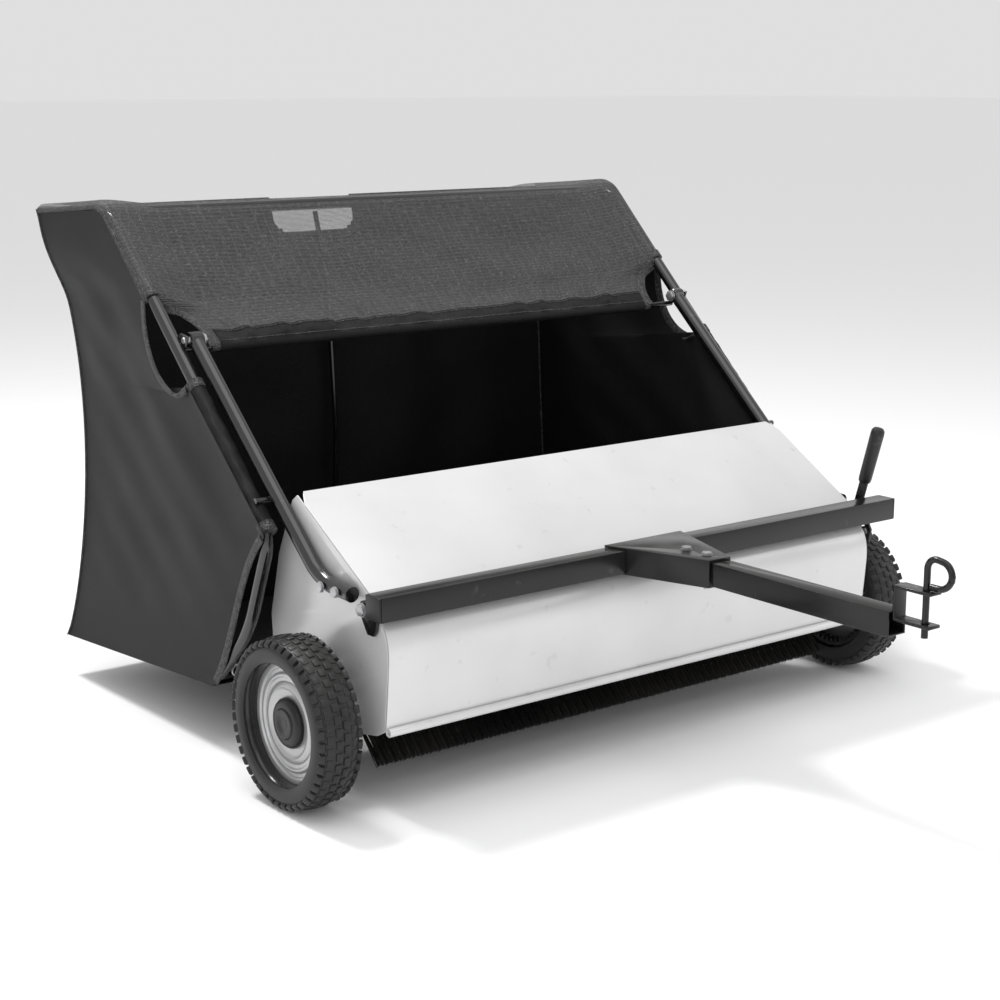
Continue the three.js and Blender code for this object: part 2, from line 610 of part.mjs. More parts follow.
// The outline of a bag side, in (Y, Z). Its front edge follows the side tube, with one cut-out
// at the hopper pivot and another, shallower, between the tube's lower bend and the bottom hem.
function bagSideOutline() {
  const shape = new THREE.Shape();
  shape.moveTo(300, 112);
  shape.lineTo(845, 76);
  shape.quadraticCurveTo(789, 480, 889, 866);
  shape.lineTo(634, 893);
  shape.lineTo(486, 752);
  shape.bezierCurveTo(500, 650, 452, 600, 366, 594);
  shape.lineTo(120, 404);
  shape.bezierCurveTo(200, 330, 220, 200, 284, 122);
  return shape;
}

function bag() {
  SIDES.forEach(([name, side]) => {
    const x = [side * BAG_X, side * (BAG_X + CLOTH_T)];
    add(`bag_side_${name}`, plateX(bagSideOutline(), Math.min(...x), Math.max(...x), [], 6), COATED_CLOTH);
  });

  // The other panels hang between the sides: back, bottom, top and the flap above the mouth.
  const half = BAG_X - 0.3;
  const backLine = new THREE.QuadraticBezierCurve(
    new THREE.Vector2(844, 82), new THREE.Vector2(789, 480), new THREE.Vector2(887, 860)).getPoints(6);
  const back = sheetX(backLine.map((p) => [p.x, p.y]), CLOTH_T, -half, half);
  const notch = (y0, y1, z0, z1) => new THREE.BoxGeometry(2 * NOTCH_HALF, y1 - y0, z1 - z0)
    .translate(0, (y0 + y1) / 2, (z0 + z1) / 2);
  add("bag_back", cut(back, notch(700, 950, 800, 900)), COATED_CLOTH);
  add("bag_bottom", sheetX([[303, 112.5], [842, 77]].reverse(), CLOTH_T, -half, half), COATED_CLOTH);
  const top = sheetX([[640, 889.6], [885.5, 864.5]], CLOTH_T, -half, half);
  add("bag_top", cut(top, notch(840, 950, 800, 950)), MESH_CLOTH);

  // The flap's lower corners are cut back to clear the pivots.
  const inside = CROSS_MEMBER_X;
  const flap = sheetX([[427.5, 665], [628, 884]], CLOTH_T, -inside, inside);
  const corners = SIDES.map(([, side]) => {
    const line = [[side * 520, 400], [side * 600, 400], [side * 600, 492], [side * 578, 492]];
    return plateZ(side > 0 ? line : [...line].reverse(), 600, 800);
  });
  add("bag_flap", cut(flap, ...corners), MESH_CLOTH);
}

bag();

const extent = new THREE.Box3().setFromObject(layout);
layout.position.y = -(extent.min.y + extent.max.y) / 2;

const sweeper = new THREE.Group();
sweeper.add(layout);

export default sweeper;
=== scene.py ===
"""A tow-behind lawn sweeper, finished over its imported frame: paint, rubber, bristles and bag."""

import math
import random

import bpy
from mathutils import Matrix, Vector, noise


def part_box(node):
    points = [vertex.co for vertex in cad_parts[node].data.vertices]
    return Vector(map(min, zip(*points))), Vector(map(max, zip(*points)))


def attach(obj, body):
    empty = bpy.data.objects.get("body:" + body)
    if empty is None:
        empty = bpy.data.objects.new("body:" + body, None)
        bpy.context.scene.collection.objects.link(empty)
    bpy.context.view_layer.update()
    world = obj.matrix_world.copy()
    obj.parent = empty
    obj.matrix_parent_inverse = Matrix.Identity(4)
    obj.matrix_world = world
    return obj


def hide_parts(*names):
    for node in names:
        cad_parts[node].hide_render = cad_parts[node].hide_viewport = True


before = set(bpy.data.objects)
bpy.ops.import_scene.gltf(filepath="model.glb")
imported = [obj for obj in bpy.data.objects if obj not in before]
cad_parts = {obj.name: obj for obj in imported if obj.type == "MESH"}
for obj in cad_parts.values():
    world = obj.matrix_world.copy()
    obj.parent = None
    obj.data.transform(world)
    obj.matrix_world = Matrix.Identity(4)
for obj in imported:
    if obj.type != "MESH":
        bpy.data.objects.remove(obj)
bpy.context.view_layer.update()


# ---------------------------------------------------------------- yard
# A pale floor under soft daylight: one wide lamp overhead, one to each side of the machine, a
# smaller one high behind it that casts its shadow forwards, and a pale sky for the rest. The
# camera stands ahead of the left wheel at chest height.

def deselect():
    if bpy.context.object and bpy.context.object.mode != "OBJECT":
        bpy.ops.object.mode_set(mode="OBJECT")
    bpy.ops.object.select_all(action="DESELECT")


def soft_lamp(name, place, aim, width, power):
    deselect()
    bpy.ops.object.light_add(type="AREA", location=place)
    lamp = bpy.context.object
    lamp.name = name
    lamp.data.shape = "DISK"
    lamp.data.size = width
    lamp.data.energy = power
    lamp.rotation_euler = (Vector(aim) - Vector(place)).to_track_quat("-Z", "Y").to_euler()


def grey(level):
    return (level, level, level, 1)


MACHINE_MIDDLE = (0, 0, 0.35)
soft_lamp("overhead", (-0.5, -0.8, 3.6), MACHINE_MIDDLE, 3.4, 34)
soft_lamp("left_of_hitch", (-3.2, -2.6, 2.0), MACHINE_MIDDLE, 2.4, 15)
soft_lamp("right_of_hitch", (3.4, -1.8, 1.8), MACHINE_MIDDLE, 2.4, 14)
soft_lamp("behind", (-0.9, 1.9, 3.9), MACHINE_MIDDLE, 0.8, 95)

deselect()
bpy.ops.mesh.primitive_plane_add(size=160, location=(0, 0, 0))
floor = bpy.context.object
floor.name = "floor"
floor_paint = bpy.data.materials.new("pale floor")
floor_paint.use_nodes = True
floor_shader = floor_paint.node_tree.nodes["Principled BSDF"]
floor_shader.inputs["Base Color"].default_value = grey(0.96)
floor_shader.inputs["Roughness"].default_value = 0.9
floor_shader.inputs["Specular IOR Level"].default_value = 0.1
floor.data.materials.append(floor_paint)

sky = bpy.data.worlds.new("pale sky")
bpy.context.scene.world = sky
bpy.context.scene.view_settings.view_transform = "Standard"
sky.use_nodes = True
sky_light = sky.node_tree.nodes["Background"]
sky_light.inputs["Color"].default_value = grey(1)
sky_light.inputs["Strength"].default_value = 0.74

axle_low, axle_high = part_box("tyre_left")
axle_y = (axle_low[1] + axle_high[1]) / 2
axle_z = (axle_low[2] + axle_high[2]) / 2

CAMERA_PLACE = (-2.1095, axle_y - 2.4275, 1.1014)
LOOKING_DOWN = math.radians(12.3)
LOOKING_RIGHT = math.radians(38)
deselect()
bpy.ops.object.camera_add(
    location=CAMERA_PLACE,
    rotation=(math.pi / 2 - LOOKING_DOWN, 0, -LOOKING_RIGHT),
)
bpy.context.scene.camera = bpy.context.object
bpy.context.object.data.lens = 70


# ---------------------------------------------------------------- powder-coated and plated steel
# The sheet-metal housing is powder-coated light grey and the hitch black. Bolts and axles are
# zinc plated. Powder coat has a faint orange peel, gathers dust on top and scuffs in use.

def shader_group(name, numbers, outputs):
    """A node group with number inputs and value outputs: its tree, input node and output node."""
    tree = bpy.data.node_groups.new(name, "ShaderNodeTree")
    for label, value in numbers.items():
        socket = tree.interface.new_socket(label, in_out="INPUT", socket_type="NodeSocketFloat")
        socket.default_value = value
    for label in outputs:
        tree.interface.new_socket(label, in_out="OUTPUT", socket_type="NodeSocketFloat")
    return tree, tree.nodes.new("NodeGroupInput"), tree.nodes.new("NodeGroupOutput")


def wire(tree, kind, settings=(), **inputs):
    """Adds a node, sets its properties, and links or sets its inputs by name, or by number as i0."""
    node = tree.nodes.new(kind)
    for label, value in dict(settings).items():
        setattr(node, label, value)
    for label, value in inputs.items():
        by_number = label[0] == "i" and label[1:].isdigit()
        socket = node.inputs[int(label[1:]) if by_number else label]
        if isinstance(value, bpy.types.NodeSocket):
            tree.links.new(value, socket)
        else:
            socket.default_value = value
    return node


def calculate(tree, operation, *values):
    """The result of one Math node."""
    inputs = {f"i{number}": value for number, value in enumerate(values)}
    return wire(tree, "ShaderNodeMath", {"operation": operation}, **inputs).outputs[0]


def noise_at(tree, place, scale, detail=2.0):
    return wire(tree, "ShaderNodeTexNoise", Vector=place, Scale=scale, Detail=detail).outputs[0]


def fade(tree, value, low, high):
    """0 below low, 1 above high, and smooth between."""
    settings = {"interpolation_type": "SMOOTHSTEP"}
    node = wire(tree, "ShaderNodeMapRange", settings, Value=value)
    node.inputs["From Min"].default_value = low
    node.inputs["From Max"].default_value = high
    return node.outputs[0]


def weathering_group():
    """Grain height, slow mottle, dust on upward faces, and scuffs."""
    tree, given, result = shader_group(
        "weathering", {"Grain scale": 900, "Scuff scale": 34}, ["Grain", "Mottle", "Dust", "Scuff"]
    )
    place = tree.nodes.new("ShaderNodeTexCoord").outputs["Object"]
    tree.links.new(noise_at(tree, place, given.outputs["Grain scale"]), result.inputs["Grain"])
    mottle = noise_at(tree, place, 5.0, 4.0)
    tree.links.new(mottle, result.inputs["Mottle"])

    facing = tree.nodes.new("ShaderNodeNewGeometry").outputs["Normal"]
    upward = wire(tree, "ShaderNodeSeparateXYZ", Vector=facing).outputs["Z"]
    settled = calculate(tree, "MULTIPLY", fade(tree, upward, 0.2, 1.0), fade(tree, mottle, 0.35, 0.75))
    tree.links.new(settled, result.inputs["Dust"])

    scratchy = noise_at(tree, place, given.outputs["Scuff scale"], 9.0)
    tree.links.new(fade(tree, scratchy, 0.66, 0.72), result.inputs["Scuff"])
    return tree


WEATHERING = weathering_group()


def blank_material(name):
    material = bpy.data.materials.new(name)
    material.use_nodes = True
    return material, material.node_tree, material.node_tree.nodes["Principled BSDF"]


def add_group(tree, group, **numbers):
    node = tree.nodes.new("ShaderNodeGroup")
    node.node_tree = group
    for label, value in numbers.items():
        node.inputs[label.replace("_", " ")].default_value = value
    return node


def blend_colour(tree, mask, low, high):
    """low where the mask is 0 and high where it is 1; either may be a colour or a socket."""
    node = wire(tree, "ShaderNodeMix", {"data_type": "RGBA"}, i0=mask, i6=low, i7=high)
    return node.outputs[2]


def between(tree, mask, low, high):
    node = wire(tree, "ShaderNodeMapRange", {}, Value=mask)
    node.inputs["To Min"].default_value = low
    node.inputs["To Max"].default_value = high
    return node.outputs[0]


def bump(tree, shader, height, strength, distance):
    node = wire(tree, "ShaderNodeBump", {}, Height=height, Strength=strength, Distance=distance)
    tree.links.new(node.outputs[0], shader.inputs["Normal"])


DUST = (0.33, 0.31, 0.28, 1)


def weathered(name, colour, mottled, scuffed, roughness, peel,
              metallic=0.0, grain=900, dusty=0.5, shine=0.5):
    """One hard finish: its clean colour, second tone, scuff colour, roughness range and peel."""
    material, tree, shader = blank_material(name)
    wear = add_group(tree, WEATHERING, Grain_scale=grain)
    tone = blend_colour(tree, fade(tree, wear.outputs["Mottle"], 0.3, 0.7), colour, mottled)
    tone = blend_colour(tree, calculate(tree, "MULTIPLY", wear.outputs["Scuff"], 0.5), tone, scuffed)
    settled = calculate(tree, "MULTIPLY", wear.outputs["Dust"], dusty)
    tone = blend_colour(tree, settled, tone, DUST)
    tree.links.new(tone, shader.inputs["Base Color"])
    tree.links.new(between(tree, wear.outputs["Mottle"], *roughness), shader.inputs["Roughness"])
    shader.inputs["Metallic"].default_value = metallic
    shader.inputs["Specular IOR Level"].default_value = shine
    bump(tree, shader, wear.outputs["Grain"], peel, 0.0004)
    return material


black_coat = weathered("black powder coat", grey(0.005), grey(0.009),
                       grey(0.05), (0.14, 0.28), 0.15, dusty=0.05, shine=0.4)
grey_coat = weathered("light grey powder coat", (0.70, 0.695, 0.70, 1), (0.66, 0.655, 0.66, 1),
                      (0.56, 0.55, 0.55, 1), (0.20, 0.30), 0.08, metallic=0.2, dusty=0.05)
zinc_plate = weathered("zinc plate", (0.55, 0.55, 0.56, 1), (0.42, 0.42, 0.43, 1),
                       (0.25, 0.24, 0.23, 1), (0.28, 0.5), 0.2, metallic=0.9, dusty=0.2)
grey_shader = grey_coat.node_tree.nodes["Principled BSDF"]
grey_shader.inputs["Coat Weight"].default_value = 0.25
grey_shader.inputs["Coat Roughness"].default_value = 0.25


def paint(node, material):
    """Gives a piece or a CAD node one material all over."""
    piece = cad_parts[node] if isinstance(node, str) else node
    piece.data.materials.clear()
    piece.data.materials.append(material)


def select_only(piece):
    deselect()
    piece.select_set(True)
    bpy.context.view_layer.objects.active = piece


def apply_modifier(piece, kind, **settings):
    select_only(piece)
    modifier = piece.modifiers.new(kind.lower(), kind)
    for label, value in settings.items():
        setattr(modifier, label, value)
    bpy.ops.object.modifier_apply(modifier=modifier.name)


def smooth(piece, degrees=35):
    select_only(piece)
    bpy.ops.object.shade_smooth_by_angle(angle=math.radians(degrees))


def soft_edged(node, width, material, slot, body, segments=3):
    """A finished copy of a CAD node with its edges rounded over, as rolled and coated steel has."""
    deselect()
    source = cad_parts[node]
    piece = source.copy()
    piece.data = source.data.copy()
    piece.parent = None
    piece.matrix_world.identity()
    piece.name = f"{node}_rounded"
    bpy.context.scene.collection.objects.link(piece)
    select_only(piece)
    bpy.ops.object.mode_set(mode="EDIT")
    bpy.ops.mesh.select_all(action="SELECT")
    bpy.ops.mesh.remove_doubles(threshold=0.00002)
    bpy.ops.mesh.dissolve_limited(angle_limit=math.radians(2))
    bpy.ops.object.mode_set(mode="OBJECT")
    apply_modifier(piece, "BEVEL", width=width, segments=segments, limit_method="ANGLE",
                   angle_limit=math.radians(38), use_clamp_overlap=True)
    smooth(piece)
    finish_piece(piece, material, slot, body, node)
    return piece


def finish_piece(piece, material, slot, body, *nodes):
    """Paints a piece and hangs it on its body, in the place of its CAD nodes."""
    paint(piece, material)
    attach(piece, body)
    if nodes:
        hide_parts(*nodes)


# ---------------------------------------------------------------- ground wheels
# Each wheel is a hard rubber tyre with a block tread on a pressed steel rim: a black dished
# flange, a light grey disc with pressed rings, and a black plastic cap over the hub.

tyre_rubber = weathered("tyre rubber", grey(0.016), grey(0.028),
                        (0.06, 0.058, 0.055, 1), (0.34, 0.52), 0.5, grain=420, dusty=0.08, shine=0.3)
moulded_black = weathered("moulded black plastic", grey(0.007), grey(0.011),
                          grey(0.04), (0.25, 0.4), 0.3, grain=1400, dusty=0.06, shine=0.35)
flange_black = weathered("black stoved flange", (0.010, 0.010, 0.011, 1), (0.016, 0.016, 0.017, 1),
                         grey(0.06), (0.16, 0.28), 0.1, dusty=0.1)
disc_grey = weathered("grey stoved disc", (0.52, 0.52, 0.525, 1), (0.44, 0.44, 0.445, 1),
                      grey(0.26), (0.26, 0.42), 0.15, metallic=0.6, dusty=0.1)


def merge_and_face_out(piece, gap=0.00001):
    """Merges the points that lie within the gap and turns every face outwards."""
    select_only(piece)
    bpy.ops.object.mode_set(mode="EDIT")
    bpy.ops.mesh.select_all(action="SELECT")
    bpy.ops.mesh.remove_doubles(threshold=gap)
    bpy.ops.mesh.normals_make_consistent(inside=False)
    bpy.ops.object.mode_set(mode="OBJECT")


def turned(name, outline, steps=96):
    """A piece spun about the X axis from its half outline of (radius, x) points."""
    deselect()
    bpy.ops.mesh.primitive_plane_add(size=0.01, location=(0, 0, 0))
    piece = bpy.context.object
    piece.name = name
    bpy.ops.object.mode_set(mode="EDIT")
    bpy.ops.mesh.select_all(action="SELECT")
    bpy.ops.mesh.merge(type="CENTER")
    bpy.ops.transform.translate(value=(outline[0][1], 0, outline[0][0]))
    for (r0, x0), (r1, x1) in zip(outline, outline[1:]):
        step = {"value": (x1 - x0, 0, r1 - r0)}
        bpy.ops.mesh.extrude_region_move(TRANSFORM_OT_translate=step)
    bpy.ops.mesh.select_all(action="SELECT")
    bpy.ops.mesh.spin(steps=steps, angle=2 * math.pi, center=(0, 0, 0), axis=(1, 0, 0))
    bpy.ops.object.mode_set(mode="OBJECT")
    merge_and_face_out(piece)
    return piece


def settle(piece, place, turn=(0, 0, 0)):
    """Moves a piece made at the origin to its place and leaves the place in its mesh."""
    select_only(piece)
    piece.location = place
    piece.rotation_euler = turn
    bpy.ops.object.transform_apply(location=True, rotation=True, scale=True)


def copy_of(piece, name):
    twin = piece.copy()
    twin.data = piece.data.copy()
    twin.name = name
    bpy.context.scene.collection.objects.link(twin)
    return twin


TYRE_HALF = 0.038
TYRE_MIDDLE = 0.1102
TYRE_THICK = 0.0228
BEAD_RADIUS = 0.0992
WHEEL_X = 0.610
TREAD_PITCHES = 44
TREAD_ROWS = (-0.0335, -0.0205, -0.0068, 0.0068, 0.0205, 0.0335)
BLOCK = (0.0112, 0.0128, 0.008)


def tyre_outline():
    """The rounded section of the tyre body, from bead to bead over the crown."""
    points = []
    for i in range(29):
        angle = math.radians(-118 + 236 * i / 28)
        across = math.copysign(abs(math.sin(angle)) ** 0.75, math.sin(angle)) * TYRE_HALF
        up = math.copysign(abs(math.cos(angle)) ** 0.75, math.cos(angle)) * TYRE_THICK
        points.append((TYRE_MIDDLE + up, across))
    return [(BEAD_RADIUS, -0.030), *points, (BEAD_RADIUS, 0.030), (BEAD_RADIUS, -0.030)]


def tread_block(x, radius, tilt, half_pitch):
    """One raised block of the tread, bevelled, at the top of the wheel."""
    deselect()
    bpy.ops.mesh.primitive_cube_add(size=1, location=(0, 0, 0))
    block = bpy.context.object
    block.scale = BLOCK
    bpy.ops.object.transform_apply(location=False, rotation=False, scale=True)
    apply_modifier(block, "BEVEL", width=0.0016, segments=2)
    settle(block, (x, 0, radius), (0, tilt, 0))
    settle(block, (0, 0, 0), (half_pitch * math.pi / TREAD_PITCHES, 0, 0))
    return block


def tread():
    """Six staggered rows of blocks, the outermost wrapping over the shoulders."""
    deselect()
    bpy.ops.object.empty_add(location=(0, 0, 0), rotation=(2 * math.pi / TREAD_PITCHES, 0, 0))
    turner = bpy.context.object
    rows = []
    for number, x in enumerate(TREAD_ROWS):
        shoulder = abs(x) > 0.03
        radius = 0.1262 if shoulder else 0.1316 - 8 * x * x
        tilt = math.copysign(math.radians(52), x) if shoulder else x * 10
        block = tread_block(x, radius, tilt, number % 2)
        apply_modifier(block, "ARRAY", count=TREAD_PITCHES, use_relative_offset=False,
                       use_object_offset=True, offset_object=turner)
        rows.append(block)
    bpy.data.objects.remove(turner)
    return rows


def join(pieces, name):
    deselect()
    for piece in pieces:
        piece.select_set(True)
    bpy.context.view_layer.objects.active = pieces[0]
    bpy.ops.object.join()
    pieces[0].name = name
    return pieces[0]


def depth(outline):
    """Turns depths behind the tyre's outer face into places along X for the left wheel."""
    return [(radius, behind - TYRE_HALF) for radius, behind in outline]


FLANGE = depth([(0.1105, 0.0035), (0.1085, 0.0028), (0.1040, 0.0052), (0.1005, 0.0100), (0.0988, 0.0160),
                (0.0985, 0.0300), (0.0985, 0.0680), (0.0965, 0.0680), (0.0965, 0.0300), (0.0968, 0.0165),
                (0.0990, 0.0092), (0.1032, 0.0042), (0.1085, 0.0015), (0.1112, 0.0024), (0.1105, 0.0035)])
DISC = depth([(0.0964, 0.0300), (0.0962, 0.0272), (0.0900, 0.0256), (0.0862, 0.0262), (0.0845, 0.0288),
              (0.0800, 0.0292), (0.0780, 0.0262), (0.0745, 0.0248), (0.0725, 0.0252), (0.0705, 0.0278),
              (0.0655, 0.0280), (0.0635, 0.0255), (0.0560, 0.0238), (0.0535, 0.0262), (0.0490, 0.0280),
              (0.0300, 0.0285), (0.0225, 0.0300), (0.0225, 0.0510), (0.0085, 0.0510), (0.0085, 0.0540),
              (0.0250, 0.0540), (0.0250, 0.0330), (0.0940, 0.0320), (0.0964, 0.0300)])
CAP = depth([(0.0, 0.0150), (0.0120, 0.0150), (0.0135, 0.0142), (0.0225, 0.0146), (0.0250, 0.0172),
             (0.0315, 0.0178), (0.0365, 0.0198), (0.0396, 0.0240), (0.0400, 0.0274), (0.0380, 0.0274),
             (0.0372, 0.0245), (0.0340, 0.0215), (0.0, 0.0200)])

tyre_piece = turned("tyre_treaded", tyre_outline(), 112)
tyre_piece = join([tyre_piece, *tread()], "tyre_treaded")
wheel_pieces = [
    (tyre_piece, tyre_rubber, "tyre", "tyre"),
    (turned("rim_flange", FLANGE), flange_black, "black_paint", None),
    (turned("rim_disc", DISC), disc_grey, "silver_paint", "rim"),
    (turned("hub_cap_moulded", CAP, 64), moulded_black, "black_plastic", "hub_cap"),
]
for original, material, slot, node in wheel_pieces:
    for side, x, turn in (("left", -WHEEL_X, 0), ("right", WHEEL_X, math.pi)):
        piece = copy_of(original, f"{original.name}_{side}")
        settle(piece, (x, axle_y, axle_z), (0, 0, turn))
        smooth(piece, 40)
        nodes = [f"{node}_{side}"] if node else []
        finish_piece(piece, material, slot, f"wheel_{side}", *nodes)
    bpy.data.objects.remove(original)

SIDES = (("left", -1), ("right", 1))
for side, _ in SIDES:
    paint(f"ring_gear_{side}", moulded_black)
    paint(f"pinion_{side}", zinc_plate)
    paint(f"axle_{side}", zinc_plate)
    paint(f"bush_{side}", moulded_black)


# ---------------------------------------------------------------- brush
# Four straight brushes are bolted along a shaft. Each is a folded steel channel that grips
# two lines of stiff black polypropylene tufts.

bristle_black = weathered("polypropylene bristle", grey(0.008), (0.014, 0.013, 0.012, 1),
                          (0.04, 0.04, 0.035, 1), (0.4, 0.6), 0.1, dusty=0.08, shine=0.25)
BRUSH_ROWS = 4
BRUSH_LENGTH = 1.016
BRISTLE_TIP = 0.1648
CHANNEL_FOOT = 0.0238
CHANNEL_TOP = 0.044
TUFT_PITCH = 0.0085
TUFT_BRISTLES = 9

shaft_low, shaft_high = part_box("brush_shaft")
brush_y = (shaft_low[1] + shaft_high[1]) / 2
brush_z = (shaft_low[2] + shaft_high[2]) / 2
paint("brush_shaft", black_coat)


def tuft(seed):
    """A handful of bristles that spread towards their tips, standing along Z from the shaft."""
    chance = random.Random(seed)
    bristles = []
    for _ in range(TUFT_BRISTLES):
        deselect()
        bpy.ops.mesh.primitive_cone_add(vertices=3, radius1=0.0013, radius2=0.0008,
                                        depth=BRISTLE_TIP - CHANNEL_TOP + 0.008 - chance.uniform(0, 0.004))
        bristle = bpy.context.object
        lean = (chance.uniform(-0.035, 0.035), chance.uniform(-0.05, 0.05), chance.uniform(0, 3))
        settle(bristle, (chance.uniform(-0.003, 0.003), chance.uniform(-0.002, 0.002), 0), lean)
        bristles.append(bristle)
    whole = join(bristles, "tuft")
    settle(whole, (0, 0, (BRISTLE_TIP + CHANNEL_TOP) / 2 - 0.0045))
    return whole


def shifted(piece, x):
    settle(piece, (x, 0, 0))
    return piece


def brush_strip():
    """One brush standing along Z: its channel and two staggered lines of tufts."""
    deselect()
    bpy.ops.mesh.primitive_cube_add(size=1)
    channel = bpy.context.object
    channel.name = "brush_channel"
    channel.scale = (BRUSH_LENGTH, 0.016, CHANNEL_TOP - CHANNEL_FOOT)
    bpy.ops.object.transform_apply(location=False, rotation=False, scale=True)
    apply_modifier(channel, "BEVEL", width=0.003, segments=3)
    settle(channel, (0, 0, (CHANNEL_TOP + CHANNEL_FOOT) / 2))
    lines = []
    for number, across in enumerate((-0.0042, 0.0042)):
        line = join([tuft(7 + number), shifted(tuft(11 + number), TUFT_PITCH)], "tufts")
        pairs = int(BRUSH_LENGTH / TUFT_PITCH / 2) - 1
        apply_modifier(line, "ARRAY", count=pairs, use_relative_offset=False, use_constant_offset=True,
                       constant_offset_displace=(2 * TUFT_PITCH, 0, 0))
        settle(line, (-BRUSH_LENGTH / 2 + TUFT_PITCH * (1 + number / 2), across, 0))
        lines.append(line)
    return channel, join(lines, "bristles")


strip_channel, strip_bristles = brush_strip()
strip_parts = (
    (strip_channel, zinc_plate, "zinc_plate"),
    (strip_bristles, bristle_black, "bristle"),
)
for row in range(BRUSH_ROWS):
    turn = (2 * math.pi * row / BRUSH_ROWS - math.pi / 4, 0, 0)
    for part, material, slot in strip_parts:
        piece = copy_of(part, f"{part.name}_{row + 1}")
        settle(piece, (0, brush_y, brush_z), turn)
        smooth(piece)
        nodes = [f"brush_row_{row + 1}"] if slot == "bristle" else []
        finish_piece(piece, material, slot, "brush", *nodes)
bpy.data.objects.remove(strip_channel)
bpy.data.objects.remove(strip_bristles)


# ---------------------------------------------------------------- housing
# Folded sheet steel, powder-coated light grey: two end plates, a flat hood that lies back
# towards the bag, and a front cover rolled to a soft curve with a rolled hem at its foot.

for side in ("left", "right"):
    soft_edged(f"side_plate_{side}", 0.0008, grey_coat, "silver_paint", "chassis")
soft_edged("hood", 0.0009, grey_coat, "silver_paint", "chassis")
paint("rear_tie_rod", black_coat)


def cloth_grid(name, rows, cut=None):
    """A mesh skinned over rows of points, with a UV map in metres: measured, or as cut flat."""
    across = len(rows[0])
    deselect()
    bpy.ops.mesh.primitive_grid_add(x_subdivisions=across - 1, y_subdivisions=len(rows) - 1, size=1)
    piece = bpy.context.object
    piece.name = name
    for vertex, place in zip(piece.data.vertices, (point for row in rows for point in row)):
        vertex.co = place
    along = [0.0]
    for before, after in zip(rows, rows[1:]):
        steps = [(Vector(b) - Vector(a)).length for a, b in zip(before, after)]
        along.append(along[-1] + sorted(steps)[len(steps) // 2])
    sideways = [[0.0] for row in rows]
    for row, spans in zip(rows, sideways):
        for a, b in zip(row, row[1:]):
            spans.append(spans[-1] + (Vector(b) - Vector(a)).length)
        offset = spans[len(spans) // 2]
        spans[:] = [span - offset for span in spans]
    if cut:
        sideways, along = [cut[0]] * len(rows), cut[1]
    uv = piece.data.uv_layers.active.data
    for loop in piece.data.loops:
        row, column = divmod(loop.vertex_index, across)
        uv[loop.index].uv = (sideways[row][column], along[row])
    return piece


def bezier(start, pull_a, pull_b, end, steps=16):
    """Points along a curve that leaves start towards pull_a and meets end from pull_b."""
    line = []
    for i in range(steps + 1):
        t = i / steps
        weights = ((1 - t) ** 3, 3 * t * (1 - t) ** 2, 3 * t * t * (1 - t), t ** 3)
        parts = (w * Vector(p) for w, p in zip(weights, (start, pull_a, pull_b, end)))
        line.append(sum(parts, Vector((0, 0))))
    return line


COVER_HALF_LENGTH = 0.5275
HEM_Y, HEM_Z = -0.1295, 0.1345
HEM_RADIUS = 0.0060


def rolled_cover_line():
    """The front cover's section in (y from the axle, z), from its top edge to its rolled hem."""
    line = [(-0.102, 0.3264), (-0.102, 0.317)]
    line += bezier((-0.102, 0.308), (-0.124, 0.304), (-0.137, 0.282), (-0.133, 0.236), 20)
    line += [(-0.1305, 0.205), (-0.1270, 0.170), (-0.1245, 0.146)]
    for i in range(11):
        turn = math.radians(20 + 27 * i)
        line.append((HEM_Y + HEM_RADIUS * math.cos(turn), HEM_Z - HEM_RADIUS * math.sin(turn)))
    return line


cover_rows = [
    [(x * COVER_HALF_LENGTH / 8, axle_y + y, z) for x in range(-8, 9)]
    for y, z in rolled_cover_line()
]
front_cover = cloth_grid("front_cover_rolled", cover_rows)
apply_modifier(front_cover, "SOLIDIFY", thickness=0.002, offset=0)
apply_modifier(front_cover, "BEVEL", width=0.0006, segments=2, limit_method="ANGLE",
               angle_limit=math.radians(50))
smooth(front_cover, 50)
finish_piece(front_cover, grey_coat, "silver_paint", "chassis", "front_cover")


# ---------------------------------------------------------------- hitch
# A square black cross tube tilts on two bolts at the housing. Two gusset plates clamp the
# tongue to it, and a bent strap with a loop-handled drop pin couples it to the tractor.

hitch_edges = {
    "cross_tube": 0.0032,
    "tongue": 0.0032,
    "gusset_top": 0.0016,
    "gusset_bottom": 0.0012,
    "clevis": 0.0016,
}
for node, width in hitch_edges.items():
    soft_edged(node, width, black_coat, "black_paint", "hitch")
for side in ("left", "right"):
    soft_edged(f"end_plug_{side}", 0.0014, moulded_black, "black_plastic", "hitch")


HANDLE_REACH = 0.3


def handle(place, towards, bend):
    """A Bezier handle: a third of the way along a straight, or all the way into a bend."""
    if towards is None:
        return place
    if (towards - place).length > bend:
        return place.lerp(towards, HANDLE_REACH)
    return towards


